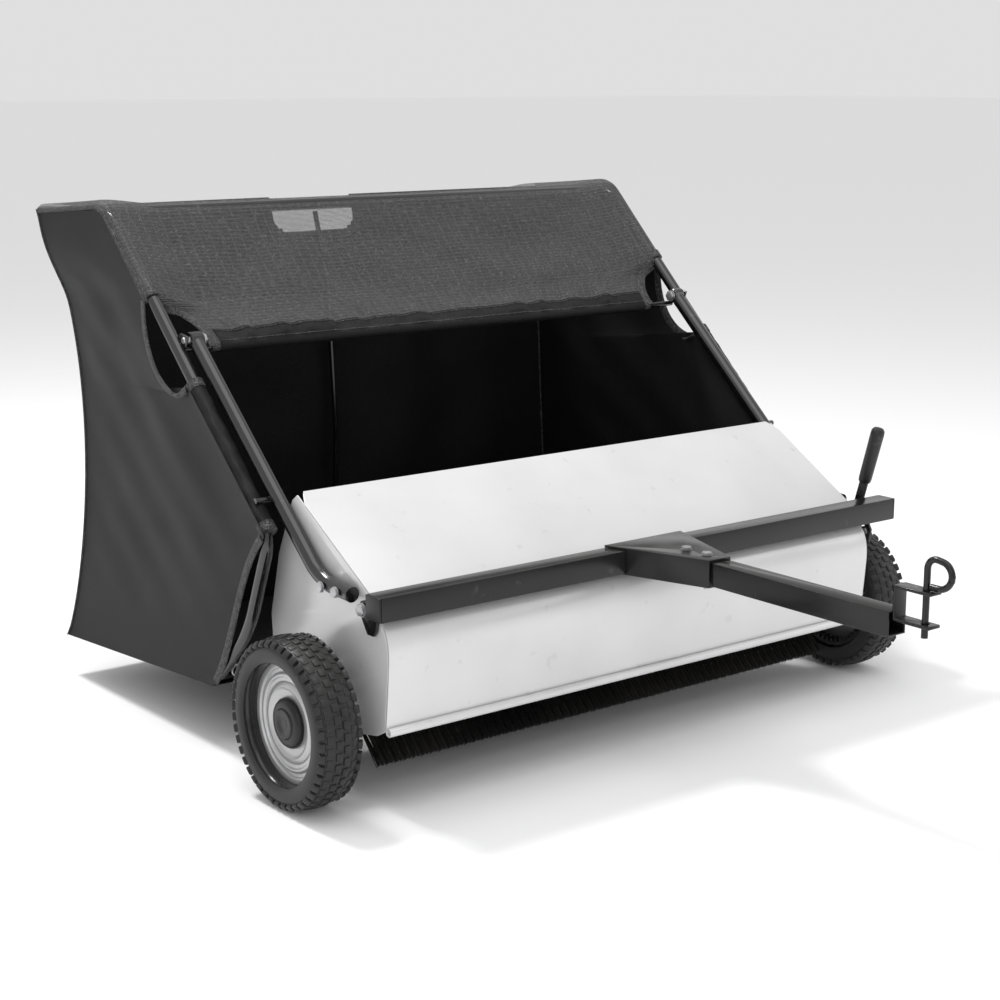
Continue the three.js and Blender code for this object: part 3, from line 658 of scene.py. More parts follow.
def pipe(name, corners, radius, bend):
    """A round tube bent through the corners, each bend of about the given size, with closed ends."""
    deselect()
    bpy.ops.curve.primitive_bezier_curve_add(location=(0, 0, 0))
    piece = bpy.context.object
    piece.name = name
    piece.data.splines.clear()
    points = [Vector(corner) for corner in corners]
    knots = [(points[0], None, points[1])]
    for before, corner, after in zip(points, points[1:], points[2:]):
        into = corner + (before - corner).normalized() * bend
        out = corner + (after - corner).normalized() * bend
        knots.append((into, before, into.lerp(corner, 0.56)))
        knots.append((out, out.lerp(corner, 0.56), after))
    knots.append((points[-1], points[-2], None))
    spline = piece.data.splines.new("BEZIER")
    spline.bezier_points.add(len(knots) - 1)
    for knot, (place, left, right) in zip(spline.bezier_points, knots):
        knot.co = place
        knot.handle_left_type = knot.handle_right_type = "FREE"
        knot.handle_left = handle(place, left, bend)
        knot.handle_right = handle(place, right, bend)
    piece.data.resolution_u = 10
    piece.data.bevel_depth = radius
    piece.data.bevel_resolution = 5
    piece.data.use_fill_caps = True
    select_only(piece)
    bpy.ops.object.convert(target="MESH")
    piece = bpy.context.object
    merge_and_face_out(piece)
    smooth(piece, 40)
    return piece


def in_side_plane(line, x):
    """Points of (y from the axle, z) at one place across the machine."""
    return [(x, axle_y + y, z) for y, z in line]


PIN_LOOP = [(-0.706, 0.322), (-0.706, 0.442), (-0.752, 0.435), (-0.747, 0.398), (-0.714, 0.398)]
ROD_RADIUS = 0.005
drop_pin = pipe("drop_pin_bent", in_side_plane(PIN_LOOP, 0), ROD_RADIUS, 0.019)
finish_piece(drop_pin, black_coat, "black_paint", "hitch_pin", "hitch_pin")


# ---------------------------------------------------------------- bolts
# Zinc-plated hexagon bolts with a washer under each head hold the arms, hitch and lever.

def hex_bolt(name, radius, length):
    """A bolt along X with its head's top at x = 0 and its shank towards -X."""
    head_depth = radius * 0.74
    washer_top = -radius * 0.75
    washer_radius = radius * 1.9
    shank = turned(name, [(0, -length), (radius * 0.8, -length), (radius, -length + radius * 0.3),
                          (radius, -radius), (washer_radius, -radius), (washer_radius, washer_top),
                          (radius, washer_top), (0, washer_top)], 32)
    deselect()
    bpy.ops.mesh.primitive_cylinder_add(vertices=6, radius=radius * 1.75, depth=head_depth)
    head = bpy.context.object
    apply_modifier(head, "BEVEL", width=radius * 0.14, segments=2)
    settle(head, (-head_depth / 2, 0, 0), (0, math.pi / 2, 0))
    return join([shank, head], name)


def bolt_for(node, body, radius, head_at_high, upright=False):
    """Stands a hexagon bolt where a CAD bolt lies, its head at that bolt's high or low end."""
    low, high = (Vector(corner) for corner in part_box(node))
    centre = (low + high) / 2
    axis = 2 if upright else 0
    piece = hex_bolt(f"{node}_hexagon", radius, high[axis] - low[axis])
    place = centre.copy()
    place[axis] = high[axis] if head_at_high else low[axis]
    flip = 0 if head_at_high else math.pi
    turn = (0, -math.pi / 2, 0) if upright else (0, 0, flip)
    settle(piece, place, turn)
    smooth(piece)
    finish_piece(piece, zinc_plate, "zinc_plate", body, node)


SMALL_BOLT = 0.0048
LARGE_BOLT = 0.0058
for place in ("front", "rear"):
    bolt_for(f"tongue_bolt_{place}", "hitch", SMALL_BOLT, True, upright=True)
    for side in ("left", "right"):
        bolt_for(f"arm_bolt_{place}_{side}", "chassis", SMALL_BOLT, side == "right")
for side in ("left", "right"):
    bolt_for(f"hitch_bolt_{side}", "chassis", LARGE_BOLT, side == "right")
    bolt_for(f"pivot_pin_{side}", "hopper", LARGE_BOLT, side == "left")
bolt_for("lever_bolt", "chassis", LARGE_BOLT, True)


# ---------------------------------------------------------------- height lever
# A flat black bar on the right-hand end plate that tilts the hitch through a stud in its slot,
# with a dipped vinyl grip.

grip_vinyl = weathered("dipped vinyl", (0.008, 0.008, 0.009, 1), (0.014, 0.014, 0.015, 1),
                       grey(0.05), (0.35, 0.5), 0.2, dusty=0.15)
soft_edged("height_lever", 0.0012, black_coat, "black_paint", "lever")

GRIP_LEAN = 0.277
grip_low, grip_high = (Vector(corner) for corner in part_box("lever_grip"))
GRIP_OUTLINE = [(0, -0.0540), (0.0094, -0.0540), (0.0112, -0.0515), (0.0119, -0.0460), (0.0121, -0.0200),
                (0.0123, 0.0100), (0.0125, 0.0420), (0.0119, 0.0490), (0.0094, 0.0528), (0.0051, 0.0543),
                (0, 0.0545)]
grip = turned("lever_grip_dipped", GRIP_OUTLINE, 48)
settle(grip, (0, 0, 0), (0, -math.pi / 2, 0))
settle(grip, (grip_low + grip_high) / 2, (GRIP_LEAN, 0, 0))
smooth(grip)
finish_piece(grip, grip_vinyl, "grip_rubber", "lever", "lever_grip")


# ---------------------------------------------------------------- arms and hopper frame
# Round black tube throughout. Two arms rise from the housing to the hopper's pivots, and the
# hopper's own frame is two bent side tubes joined by straight tubes, a lip rod and a rear stay.

black_gloss = weathered("black gloss tube", grey(0.004), grey(0.007),
                        grey(0.05), (0.10, 0.20), 0.08, dusty=0.03, shine=0.9)
ARM = [(-0.0585, 0.3375), (0.026, 0.342), (0.392, 0.671)]
PIVOT = (0.398, 0.676)
SIDE_TUBE = [(0.300, 0.130), (0.202, 0.226), (0.131, 0.399), (0.636, 0.878), (0.870, 0.852)]
ARM_X = 0.541
TUBE_X = 0.568

ARM_RADIUS = 0.0125
TUBE_RADIUS = 0.011
EAR_THICK = 0.005
STOP = (0.1595, 0.4489)
EAR = [
    (PIVOT[0] + y, PIVOT[1] + z)
    for y, z in ((-0.012, 0.008), (-0.004, -0.013), (0.014, -0.022), (0.034, -0.002), (0.012, 0.012))
]


def flat_plate(name, outline, low, high):
    """A plate standing across X, cut to an outline of (y from the axle, z), with eased edges."""
    deselect()
    bpy.ops.mesh.primitive_circle_add(vertices=len(outline), fill_type="NGON")
    piece = bpy.context.object
    piece.name = name
    for vertex, (y, z) in zip(piece.data.vertices, outline):
        vertex.co = (low, axle_y + y, z)
    bpy.ops.object.mode_set(mode="EDIT")
    bpy.ops.mesh.select_all(action="SELECT")
    bpy.ops.mesh.extrude_region_move(TRANSFORM_OT_translate={"value": (high - low, 0, 0)})
    bpy.ops.object.mode_set(mode="OBJECT")
    merge_and_face_out(piece)
    apply_modifier(piece, "BEVEL", width=0.003, segments=3, limit_method="ANGLE")
    smooth(piece)
    return piece


for side, sign in SIDES:
    bar = pipe("arm_bar", in_side_plane(ARM, sign * ARM_X), ARM_RADIUS, 0.034)
    eye = turned("arm_eye", [(0.0065, -0.0115), (0.0125, -0.0115), (0.0140, -0.0100), (0.0140, 0.0100),
                             (0.0125, 0.0115), (0.0065, 0.0115), (0.0065, -0.0115)], 40)
    settle(eye, (sign * ARM_X, axle_y + PIVOT[0], PIVOT[1]))
    stop_ends = (sign * 0.545, sign * 0.5765)
    stop = pipe("arm_stop", [in_side_plane([STOP], x)[0] for x in stop_ends], ROD_RADIUS, 0)
    arm = join([bar, eye, stop], f"arm_{side}_bent")
    smooth(arm)
    finish_piece(arm, black_gloss, "black_paint", "chassis", f"arm_{side}")

    tube = pipe("side_tube", in_side_plane(SIDE_TUBE, sign * TUBE_X), TUBE_RADIUS, 0.040)
    inner = sign * (TUBE_X - TUBE_RADIUS)
    ear = flat_plate("ear", EAR, inner, inner + sign * EAR_THICK)
    tube = join([tube, ear], f"side_tube_{side}_bent")
    finish_piece(tube, black_gloss, "black_paint", "hopper", f"hopper_side_tube_{side}")

for node in ("hopper_rear_tube", "hopper_ridge_tube", "hopper_lip_rod", "hopper_front_tube"):
    low, high = (Vector(corner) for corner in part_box(node))
    centre = (low + high) / 2
    bar = pipe(f"{node}_round", [(low.x, *centre[1:]), (high.x, *centre[1:])], (high.z - low.z) / 2, 0)
    finish_piece(bar, black_gloss, "black_paint", "hopper", node)

STAY = [(0.870, 0.839), (0.828, 0.700), (0.808, 0.400), (0.824, 0.122)]
stay = pipe("rear_stay_bent", in_side_plane(STAY, 0), ROD_RADIUS, 0.030)
finish_piece(stay, black_gloss, "black_paint", "hopper", "hopper_rear_stay")


# ---------------------------------------------------------------- bag shell
# The sides, back and bottom are one sewn shell of coated cloth. It hangs from the side tubes
# in sleeves, and its back and rear seams draw in between the rear tube and the bottom.

BAG_HALF = 0.5825
BAG_BOTTOM = 0.076
BAG_HEIGHT = 0.790
NOTCH_HALF = 0.095
NOTCH_FOOT = 0.800
NOTCH_CORNER = 0.030
REAR_FOOT = 0.845
REAR_RISE = 0.044
REAR_DRAW = 0.100
SIDE_HOLLOW = 0.010
SIDE_FOLDS = 0.012
DRAG_LINES = 0.0014
BACK_BILLOW = 0.010
BACK_PLEATS = 0.006
PLEAT_WIDTH = 0.23
BOTTOM_SAG = 0.010
SEAM_GAP = 0.00005


def evenly(line):
    """A function giving the point at any fraction of the line's length."""
    lengths = [0.0]
    for a, b in zip(line, line[1:]):
        lengths.append(lengths[-1] + (b - a).length)

    def point_at(fraction):
        wanted = min(max(fraction, 0), 1) * lengths[-1]
        for i in range(1, len(line)):
            if lengths[i] >= wanted:
                return line[i - 1].lerp(line[i], (wanted - lengths[i - 1]) / (lengths[i] - lengths[i - 1]))
        return line[-1]

    return point_at


LOWER_ARC = bezier((0.284, 0.122), (0.220, 0.200), (0.200, 0.330), (0.122, 0.400))
ROUND_CUTOUT = bezier((0.350, 0.606), (0.395, 0.560), (0.505, 0.610), (0.492, 0.741))
FRONT_FOOT = Vector((0.300, 0.112))
FRONT_TOP = [Vector((0.630, 0.872)), Vector((0.636, 0.876))]
FRONT_LINE = [FRONT_FOOT, *LOWER_ARC, *ROUND_CUTOUT, *FRONT_TOP]
front_edge = evenly(FRONT_LINE)


def ease(value, low, high):
    """0 below low, 1 above high, and smooth between."""
    t = min(max((value - low) / (high - low), 0), 1)
    return t * t * (3 - 2 * t)


def ruffle(a, b, seed, size):
    """A soft, repeatable unevenness of up to about the given size."""
    return size * noise.noise(Vector((a, b, seed)))


def draw_in(s):
    """How far the rear of the bag draws in, s being the fraction of its height."""
    return REAR_DRAW * max(4 * s * (1 - s), 0) ** 0.8 * (0.85 + 0.3 * s)


def tuck(s):
    """How far the rear seams tuck in sideways below the side tubes' ends."""
    return 0.43 * draw_in(s) * (1 - ease(s, 0.78, 0.97))


def rear_edge(s):
    return Vector((REAR_FOOT + REAR_RISE * s - 0.45 * draw_in(s), BAG_BOTTOM + BAG_HEIGHT * s))


def side_point(sign, u, s):
    """A place on a side panel, u running from its front edge to its rear and s from foot to top."""
    y, z = front_edge(s).lerp(rear_edge(s), u)
    middle = math.sin(math.pi * u) ** 0.7 * math.sin(math.pi * s) * (1 - ease(s, 0.80, 0.93))
    hollow = tuck(s) * u ** 1.6 + SIDE_HOLLOW * middle
    inside = 4 * u * (1 - u) * ease(s, 0.05, 0.3) * (1 - ease(s, 0.85, 0.93))
    drag = DRAG_LINES * math.sin(9 * (z - 0.75 * y) / 0.16 + 3 * u) * inside
    folds = ruffle(2.5 * u, 3.5 * s, 3 + sign, SIDE_FOLDS) * middle
    return Vector((sign * (BAG_HALF - hollow - drag - folds), axle_y + y, z))


def back_point(v, s):
    """A place on the back panel, v running from -1 at the left seam to 1 at the right."""
    y, z = rear_edge(s)
    half = BAG_HALF - tuck(s)
    middle = (1 - v ** 4) * math.sin(math.pi * min(s, 1))
    pleats = BACK_PLEATS * math.sin(2 * math.pi * v * half / PLEAT_WIDTH) * middle
    billow = BACK_BILLOW * (1 - v * v) * math.sin(math.pi * s)
    unevenness = ruffle(4 * v, 5 * s, 9, 0.008) * middle
    return Vector((v * half, axle_y + y + billow + pleats + unevenness, z))


def bottom_point(v, u):
    y0, z0 = FRONT_LINE[0]
    rear = back_point(v, 0)
    inside = 1 - v ** 4
    sag = (BOTTOM_SAG * inside + ruffle(5 * v, 3 * u, 5, 0.006)) * math.sin(math.pi * u) * inside
    y = axle_y + y0 + (rear.y - axle_y - y0) * u
    return Vector((v * BAG_HALF, y, z0 + (rear.z - z0) * u - sag))


def steps_between(low, high, count, marks=()):
    """Evenly spread numbers, with the nearest moved onto each mark."""
    values = [low + (high - low) * i / count for i in range(count + 1)]
    for mark in marks:
        nearest = min(range(1, count), key=lambda i: abs(values[i] - mark))
        values[nearest] = mark
    return values


def remove_faces(piece, inside):
    """Cuts away the faces whose centres are inside."""
    select_only(piece)
    bpy.ops.object.mode_set(mode="EDIT")
    bpy.ops.mesh.select_all(action="DESELECT")
    bpy.ops.object.mode_set(mode="OBJECT")
    for face in piece.data.polygons:
        face.select = inside(face.center)
    bpy.ops.object.mode_set(mode="EDIT")
    bpy.ops.mesh.select_mode(type="FACE")
    bpy.ops.mesh.delete(type="FACE")
    bpy.ops.object.mode_set(mode="OBJECT")


def sewn(pieces, name):
    """One sheet from panels whose edges meet, with its normals made to agree."""
    sheet = join(pieces, name)
    merge_and_face_out(sheet, SEAM_GAP)
    return sheet


def within_notch(across, beyond):
    """Whether a place is in the hand notch, from the distances across it and in from its foot."""
    corner_x = abs(across) - (NOTCH_HALF - NOTCH_CORNER)
    corner_y = NOTCH_CORNER - beyond
    if corner_x > 0 and corner_y > 0:
        return math.hypot(corner_x, corner_y) < NOTCH_CORNER
    return abs(across) < NOTCH_HALF and beyond > 0


notch_s = (NOTCH_FOOT - BAG_BOTTOM) / BAG_HEIGHT
HEIGHTS = steps_between(0, 1, 110, [notch_s])
DEPTHS = steps_between(0, 1, 40)
notch_v = NOTCH_HALF / (BAG_HALF - tuck(0.97))
WIDTHS = steps_between(-1, 1, 120, [-notch_v, notch_v])

left_panel, right_panel = (
    cloth_grid(f"{side}_panel", [[side_point(sign, u, s) for u in DEPTHS] for s in HEIGHTS])
    for side, sign in SIDES
)
back_panel = cloth_grid("back_panel", [[back_point(v, s) for v in WIDTHS] for s in HEIGHTS])
bottom_panel = cloth_grid("bottom_panel", [[bottom_point(v, u) for v in WIDTHS] for u in DEPTHS])
remove_faces(back_panel, lambda place: within_notch(place.x, place.z - NOTCH_FOOT))
bag_shell = sewn([back_panel, left_panel, right_panel, bottom_panel], "bag_shell")


def weave_group():
    """Plain-woven flat yarns over a UV map in metres: height, gaps, stray flecks, tone and ribs."""
    tree, given, result = shader_group(
        "plain weave",
        {"Yarn": 0.0022, "Gap": 0.3, "Flecks": 0.04},
        ["Height", "Hole", "Fleck", "Tone", "Rib"],
    )
    flat = tree.nodes.new("ShaderNodeUVMap").outputs[0]
    wander = wire(tree, "ShaderNodeTexNoise", Vector=flat, Scale=9.0, Detail=2.0).outputs["Color"]
    shift = wire(tree, "ShaderNodeVectorMath", {"operation": "SCALE"}, i0=wander, Scale=0.004).outputs[0]
    place = wire(tree, "ShaderNodeVectorMath", {"operation": "ADD"}, i0=flat, i1=shift).outputs[0]
    split = wire(tree, "ShaderNodeSeparateXYZ", Vector=place)
    yarn = given.outputs["Yarn"]
    cells = [calculate(tree, "DIVIDE", split.outputs[axis], yarn) for axis in ("X", "Y")]
    ridges = []
    for cell in cells:
        within = calculate(tree, "FRACT", cell)
        ridges.append(calculate(tree, "SINE", calculate(tree, "MULTIPLY", within, math.pi)))
    floors = [calculate(tree, "FLOOR", cell) for cell in cells]
    parity = calculate(tree, "MODULO", calculate(tree, "ABSOLUTE", calculate(tree, "ADD", *floors)), 2.0)
    over = wire(tree, "ShaderNodeMix", {"data_type": "FLOAT"}, i0=parity, i2=ridges[0], i3=ridges[1])
    tree.links.new(over.outputs[0], result.inputs["Height"])
    thin = [calculate(tree, "LESS_THAN", ridge, given.outputs["Gap"]) for ridge in ridges]
    tree.links.new(calculate(tree, "MAXIMUM", *thin), result.inputs["Hole"])
    whole = wire(tree, "ShaderNodeCombineXYZ", X=floors[0], Y=floors[1]).outputs[0]
    chance = wire(tree, "ShaderNodeTexWhiteNoise", {}, Vector=whole).outputs["Value"]
    tree.links.new(calculate(tree, "LESS_THAN", chance, given.outputs["Flecks"]), result.inputs["Fleck"])
    tree.links.new(chance, result.inputs["Tone"])
    ribs = []
    for cell, every, wide in zip(cells, (8, 3), (1.1, 0.9)):
        repeat = calculate(tree, "PINGPONG", cell, every / 2)
        ribs.append(calculate(tree, "LESS_THAN", repeat, wide / 2))
    tree.links.new(calculate(tree, "MAXIMUM", *ribs), result.inputs["Rib"])
    return tree


WEAVE = weave_group()


def cloth(name, yarn, gap, dark, light, fleck, open_share,
          ribbed=0.0, flecks=0.04, sheen=0.03, rough=(0.5, 0.7), shine=0.3):
    """A woven cloth: yarn size, gap, two tones, fleck colour, and how see-through its gaps are."""
    material, tree, shader = blank_material(name)
    weave = add_group(tree, WEAVE, Yarn=yarn, Gap=gap, Flecks=flecks)
    wear = add_group(tree, WEATHERING)
    tone = blend_colour(tree, weave.outputs["Tone"], dark, light)
    tone = blend_colour(tree, calculate(tree, "MULTIPLY", weave.outputs["Fleck"], 0.8), tone, fleck)
    tone = blend_colour(tree, calculate(tree, "MULTIPLY", weave.outputs["Rib"], ribbed), tone, fleck)
    tone = blend_colour(tree, calculate(tree, "MULTIPLY", wear.outputs["Dust"], 0.03), tone, DUST)
    tree.links.new(tone, shader.inputs["Base Color"])
    tree.links.new(between(tree, wear.outputs["Mottle"], *rough), shader.inputs["Roughness"])
    if open_share:
        seen_through = calculate(tree, "MULTIPLY", weave.outputs["Hole"], open_share)
        tree.links.new(calculate(tree, "SUBTRACT", 1.0, seen_through), shader.inputs["Alpha"])
    shader.inputs["Sheen Weight"].default_value = sheen
    shader.inputs["Sheen Roughness"].default_value = 0.5
    shader.inputs["Specular IOR Level"].default_value = shine
    bump(tree, shader, weave.outputs["Height"], 0.5, 0.0005)
    return material


coated_cloth = cloth("coated cloth", 0.0016, 0.1, (0.005, 0.005, 0.0053, 1), (0.009, 0.009, 0.0095, 1),
                     (0.02, 0.02, 0.022, 1), 0.0, rough=(0.40, 0.56), shine=0.17, sheen=0.01)
mesh_cloth = cloth("open mesh cloth", 0.0026, 0.5, (0.060, 0.059, 0.061, 1), (0.095, 0.093, 0.096, 1),
                   grey(0.20), 0.9, ribbed=0.3)
tape_cloth = cloth("binding tape", 0.0014, 0.1, grey(0.006), grey(0.035),
                   grey(0.14), 0.0, flecks=0.22)

apply_modifier(bag_shell, "SOLIDIFY", thickness=0.0014, offset=0)
smooth(bag_shell, 50)
finish_piece(bag_shell, coated_cloth, "coated_cloth", "hopper",
             "bag_side_left", "bag_side_right", "bag_back", "bag_bottom")


# ---------------------------------------------------------------- bag cover
# The top and the front flap are one sheet of open mesh cloth. It rolls over the side tubes,
# and its hem wraps the lip rod and is stitched down inside.

RIDGE = Vector((0.638, 0.8865))
LIP = Vector((0.428, 0.657))
TOP_REAR = Vector((0.889, 0.866))
ROLL = 0.0145
HEM_ROLL = 0.0078
FLAP_START = (RIDGE - TOP_REAR).length
FLAP_LENGTH = (LIP - RIDGE).length
WRAP = HEM_ROLL * math.pi
RETURN = 0.027
LIP_END = FLAP_START + FLAP_LENGTH
COVER_LENGTH = LIP_END + WRAP + RETURN
COVER_HALF = TUBE_X + ROLL * math.pi / 2
NOTCH_TOP = 0.840
RIDGE_BEND = 0.018
RIDGE_ROUNDING = 0.024
RIDGE_DROP = 0.0062
TAPER_START = 0.676
CORNER_TAPER = 0.088
LIFT_AT_RIDGE = 0.0088
LIFT_ALONG_FLAP = 0.0192
FLAP_SLACK = 0.013
TOP_SLACK = 0.008
top_way = (RIDGE - TOP_REAR).normalized()
flap_way = (LIP - RIDGE).normalized()
flap_up = Vector((flap_way.y, -flap_way.x))
top_up = Vector((top_way.y, -top_way.x))


def cover_line(along):
    """The cover's mid line: its place and outward direction, at a distance from its rear edge."""
    bend = ease(along, FLAP_START - RIDGE_BEND, FLAP_START + RIDGE_BEND)
    outward = top_up.lerp(flap_up, bend).normalized()
    if along < FLAP_START:
        place = TOP_REAR + top_way * along
    else:
        place = RIDGE + flap_way * min(along - FLAP_START, FLAP_LENGTH)
        place += flap_up * HEM_ROLL * ease(along, LIP_END - 0.08, LIP_END)
    rounding = max(0, 1 - abs(along - FLAP_START) / RIDGE_ROUNDING)
    place = place - outward * RIDGE_DROP * rounding ** 2
    over = along - LIP_END
    if over > 0:
        turn = min(over / WRAP, 1) * math.pi
        outward = flap_up * math.cos(turn) + flap_way * math.sin(turn)
        place = LIP + outward * HEM_ROLL - flap_way * max(0, over - WRAP)
    return place, outward


def cover_taper(t):
    """How far each side of the flap is cut in, t being the fraction of its length from the ridge."""
    if t <= TAPER_START:
        return 0.0
    return CORNER_TAPER * math.sqrt(max(0, 1 - ((1 - min(t, 1)) / (1 - TAPER_START)) ** 2))


def cover_point(flat_x, along):
    """A place on the cover, from the distances across it and from its rear edge."""
    place, outward = cover_line(along)
    t = (along - FLAP_START) / FLAP_LENGTH
    v = flat_x / COVER_HALF
    flap_share = math.sin(math.pi * min(max(t, 0), 1))
    top_share = math.sin(math.pi * min(along / FLAP_START, 1))
    rolled = 1 - ease(t, 0.66, 0.76)
    turn = max(0, abs(flat_x) - TUBE_X) / ROLL
    curled_x = min(abs(flat_x), TUBE_X) + ROLL * math.sin(turn)
    plain_x = abs(v) * (BAG_HALF - cover_taper(t))
    x = math.copysign(rolled * curled_x + (1 - rolled) * plain_x, flat_x)
    lift = (LIFT_AT_RIDGE + LIFT_ALONG_FLAP * max(t, 0)) * ease(abs(flat_x), 0.47, 0.566) * rolled
    lift -= ROLL * (1 - math.cos(turn)) * rolled
    slack = (1 - v * v) * (FLAP_SLACK * flap_share + TOP_SLACK * top_share)
    crease = ruffle(flat_x * 9, along * 12, 2, 0.006) * flap_share * (1 - v ** 6)
    gather = ruffle(flat_x * 30, along * 3, 4, 0.010) * ease(t, 0.78, 0.92) * (1 - ease(t, 0.97, 1.0))
    drop = lift - slack + crease + gather
    return Vector((x, axle_y + place.x + outward.x * drop, place.y + outward.y * drop))


notch_along = (TOP_REAR.x - NOTCH_TOP) / -top_way.x
STATIONS = steps_between(0, LIP_END, 74, [notch_along])
STATIONS += [LIP_END + WRAP * i / 8 for i in range(1, 9)]
STATIONS += [COVER_LENGTH - RETURN / 2, COVER_LENGTH]
ACROSS = steps_between(-TUBE_X, TUBE_X, 132, [-NOTCH_HALF, NOTCH_HALF])
edge_steps = [TUBE_X + ROLL * math.pi / 2 * i / 6 for i in range(1, 7)]
ACROSS = [-x for x in reversed(edge_steps)] + ACROSS + edge_steps
cloth_rows = [[cover_point(x, along) for x in ACROSS] for along in STATIONS]
bag_cover = cloth_grid("bag_cover", cloth_rows, (ACROSS, STATIONS))
remove_faces(bag_cover, lambda place: within_notch(place.x, place.y - axle_y - NOTCH_TOP))
bag_cover = sewn([bag_cover], "bag_cover")
apply_modifier(bag_cover, "SOLIDIFY", thickness=0.0005, offset=0)
smooth(bag_cover, 60)
finish_piece(bag_cover, mesh_cloth, "mesh_cloth", "hopper", "bag_top", "bag_flap")


# ---------------------------------------------------------------- sleeves, binding and seams
# The shell is sewn as a sleeve round the lower part of each side tube and round the front tube.
# Every cut edge is bound in speckled tape, and the rear and top seams carry a narrow welt.

def swept(name, centres, sides, outs, section):
    """A closed section carried along a line, with its ends shut."""
    rows = [[c + s * a + o * b for a, b in [*section, section[0]]] for c, s, o in zip(centres, sides, outs)]
    piece = sewn([cloth_grid(name, rows)], name)
    bpy.ops.object.mode_set(mode="EDIT")
    bpy.ops.mesh.select_all(action="DESELECT")
    bpy.ops.mesh.select_mode(type="EDGE")
    bpy.ops.mesh.select_non_manifold()
    bpy.ops.mesh.edge_face_add()
    bpy.ops.object.mode_set(mode="OBJECT")
    merge_and_face_out(piece)
    return piece


def oval(wide, thick, count=12):
    """A tape's or a cord's section: flat-faced if much wider than thick, and else an ellipse."""
    corners = [2 * math.pi * i / count for i in range(count)]
    power = 0.45 if wide > thick * 1.5 else 1
    return [
        (math.copysign(abs(math.cos(a)) ** power, math.cos(a)) * wide, math.sin(a) * thick)
        for a in corners
    ]


def along_surface(surface, line, flip=1):
    """Places, sideways directions and outward directions of a line drawn on a surface."""
    places = [surface(a, b) for a, b in line]
    outs, sides = [], []
    for i, (a, b) in enumerate(line):
        way = (places[min(i + 1, len(places) - 1)] - places[max(i - 1, 0)]).normalized()
        slope_a = surface(a + 0.002, b) - surface(a - 0.002, b)
        slope_b = surface(a, b + 0.002) - surface(a, b - 0.002)
        out = slope_a.cross(slope_b).normalized() * flip
        outs.append(out)
        sides.append(out.cross(way).normalized())
    return places, sides, outs


def rounded_corners(points, radius, steps=7):
    """The line with each inner corner rounded."""
    line = [Vector(points[0])]
    for before, corner, after in zip(points, points[1:], points[2:]):
        before, corner, after = Vector(before), Vector(corner), Vector(after)
        into = corner + (before - corner).normalized() * radius
        out = corner + (after - corner).normalized() * radius
        line += bezier(into, into.lerp(corner, 0.55), out.lerp(corner, 0.55), out, steps)
    return line + [Vector(points[-1])]


def closely(line, gap):
    """The line with points no further apart than the gap."""
    points = [line[0]]
    for a, b in zip(line, line[1:]):
        count = max(1, math.ceil((b - a).length / gap))
        points += [a.lerp(b, i / count) for i in range(1, count + 1)]
    return points


def add_trim(piece, material=tape_cloth, slot="coated_cloth"):
    smooth(piece, 50)
    finish_piece(piece, material, slot, "hopper")
    return piece


def tape(name, surface, line, flip=1, width=0.017):
    """Binding tape laid along a line on a surface."""
    places, sides, outs = along_surface(surface, line, flip)
    return add_trim(swept(name, places, sides, outs, oval(width / 2, 0.0019)))


TAPE_SET_BACK = 0.007


def back_place(x, z):
    """A place on the back panel, from the distance across it and the height."""
    s = (z - BAG_BOTTOM) / BAG_HEIGHT
    return back_point(x / (BAG_HALF - tuck(s)), s)


HEM_BAND = 0.030
CORNER_TAPE_X = 0.5905
SEAM_TAPE_X = 0.5885
band_rows = [LIP_END - HEM_BAND + HEM_BAND * i / 6 for i in range(6)]
band_rows += [LIP_END + WRAP * i / 8 for i in range(9)]
band_rows += [LIP_END + WRAP + RETURN * i / 3 for i in (1, 2, 3)]
plain_columns = [x for x in ACROSS if abs(x) < 0.575]


def over_cover(x, along):
    """A place just outside the cover."""
    _, outward = cover_line(along)
    return cover_point(x, along) + Vector((0, *outward)) * 0.0016


def notch_binding(name, surface, mouth, foot, set_back):
    """Tape round three sides of the hand notch, from its mouth to just past its foot."""
    half = NOTCH_HALF + TAPE_SET_BACK
    foot += set_back
    corners = [(-half, mouth), (-half, foot), (half, foot), (half, mouth)]
    line = rounded_corners(corners, NOTCH_CORNER + 0.006)
    return tape(name, surface, closely(line, 0.012))


lip_rows = [[over_cover(x, along) for x in plain_columns] for along in band_rows]
lip_band = sewn([cloth_grid("lip_hem", lip_rows)], "lip_hem")
apply_modifier(lip_band, "SOLIDIFY", thickness=0.0012, offset=0)
cover_trim = [add_trim(lip_band, coated_cloth)]
for number, along in enumerate((LIP_END - 0.026, LIP_END - 0.004)):
    line = [Vector((x, along)) for x in plain_columns]
    cover_trim.append(tape(f"lip_stitching_{number + 1}", over_cover, line, width=0.0022))
for side, sign in SIDES:
    corner_start = FLAP_START + FLAP_LENGTH * 0.70
    corner_length = FLAP_LENGTH * 0.31
    corner = [Vector((sign * CORNER_TAPE_X, corner_start + corner_length * i / 30)) for i in range(31)]
    cover_trim.append(tape(f"flap_corner_tape_{side}", cover_point, corner, width=0.016))
    seam = [Vector((sign * SEAM_TAPE_X, LIP_END * i / 90)) for i in range(76)]
    cover_trim.append(tape(f"top_seam_tape_{side}", cover_point, seam, width=0.008))
cover_trim.append(notch_binding("notch_tape_top", cover_point, 0.001, notch_along, TAPE_SET_BACK))
shell_trim = [notch_binding("notch_tape_back", back_place, 0.864, NOTCH_FOOT, -TAPE_SET_BACK)]

ACROSS_WAY = Vector((1, 0, 0))
BACK_WAY = Vector((0, 1, 0))
EDGE_SHARE = 0.013


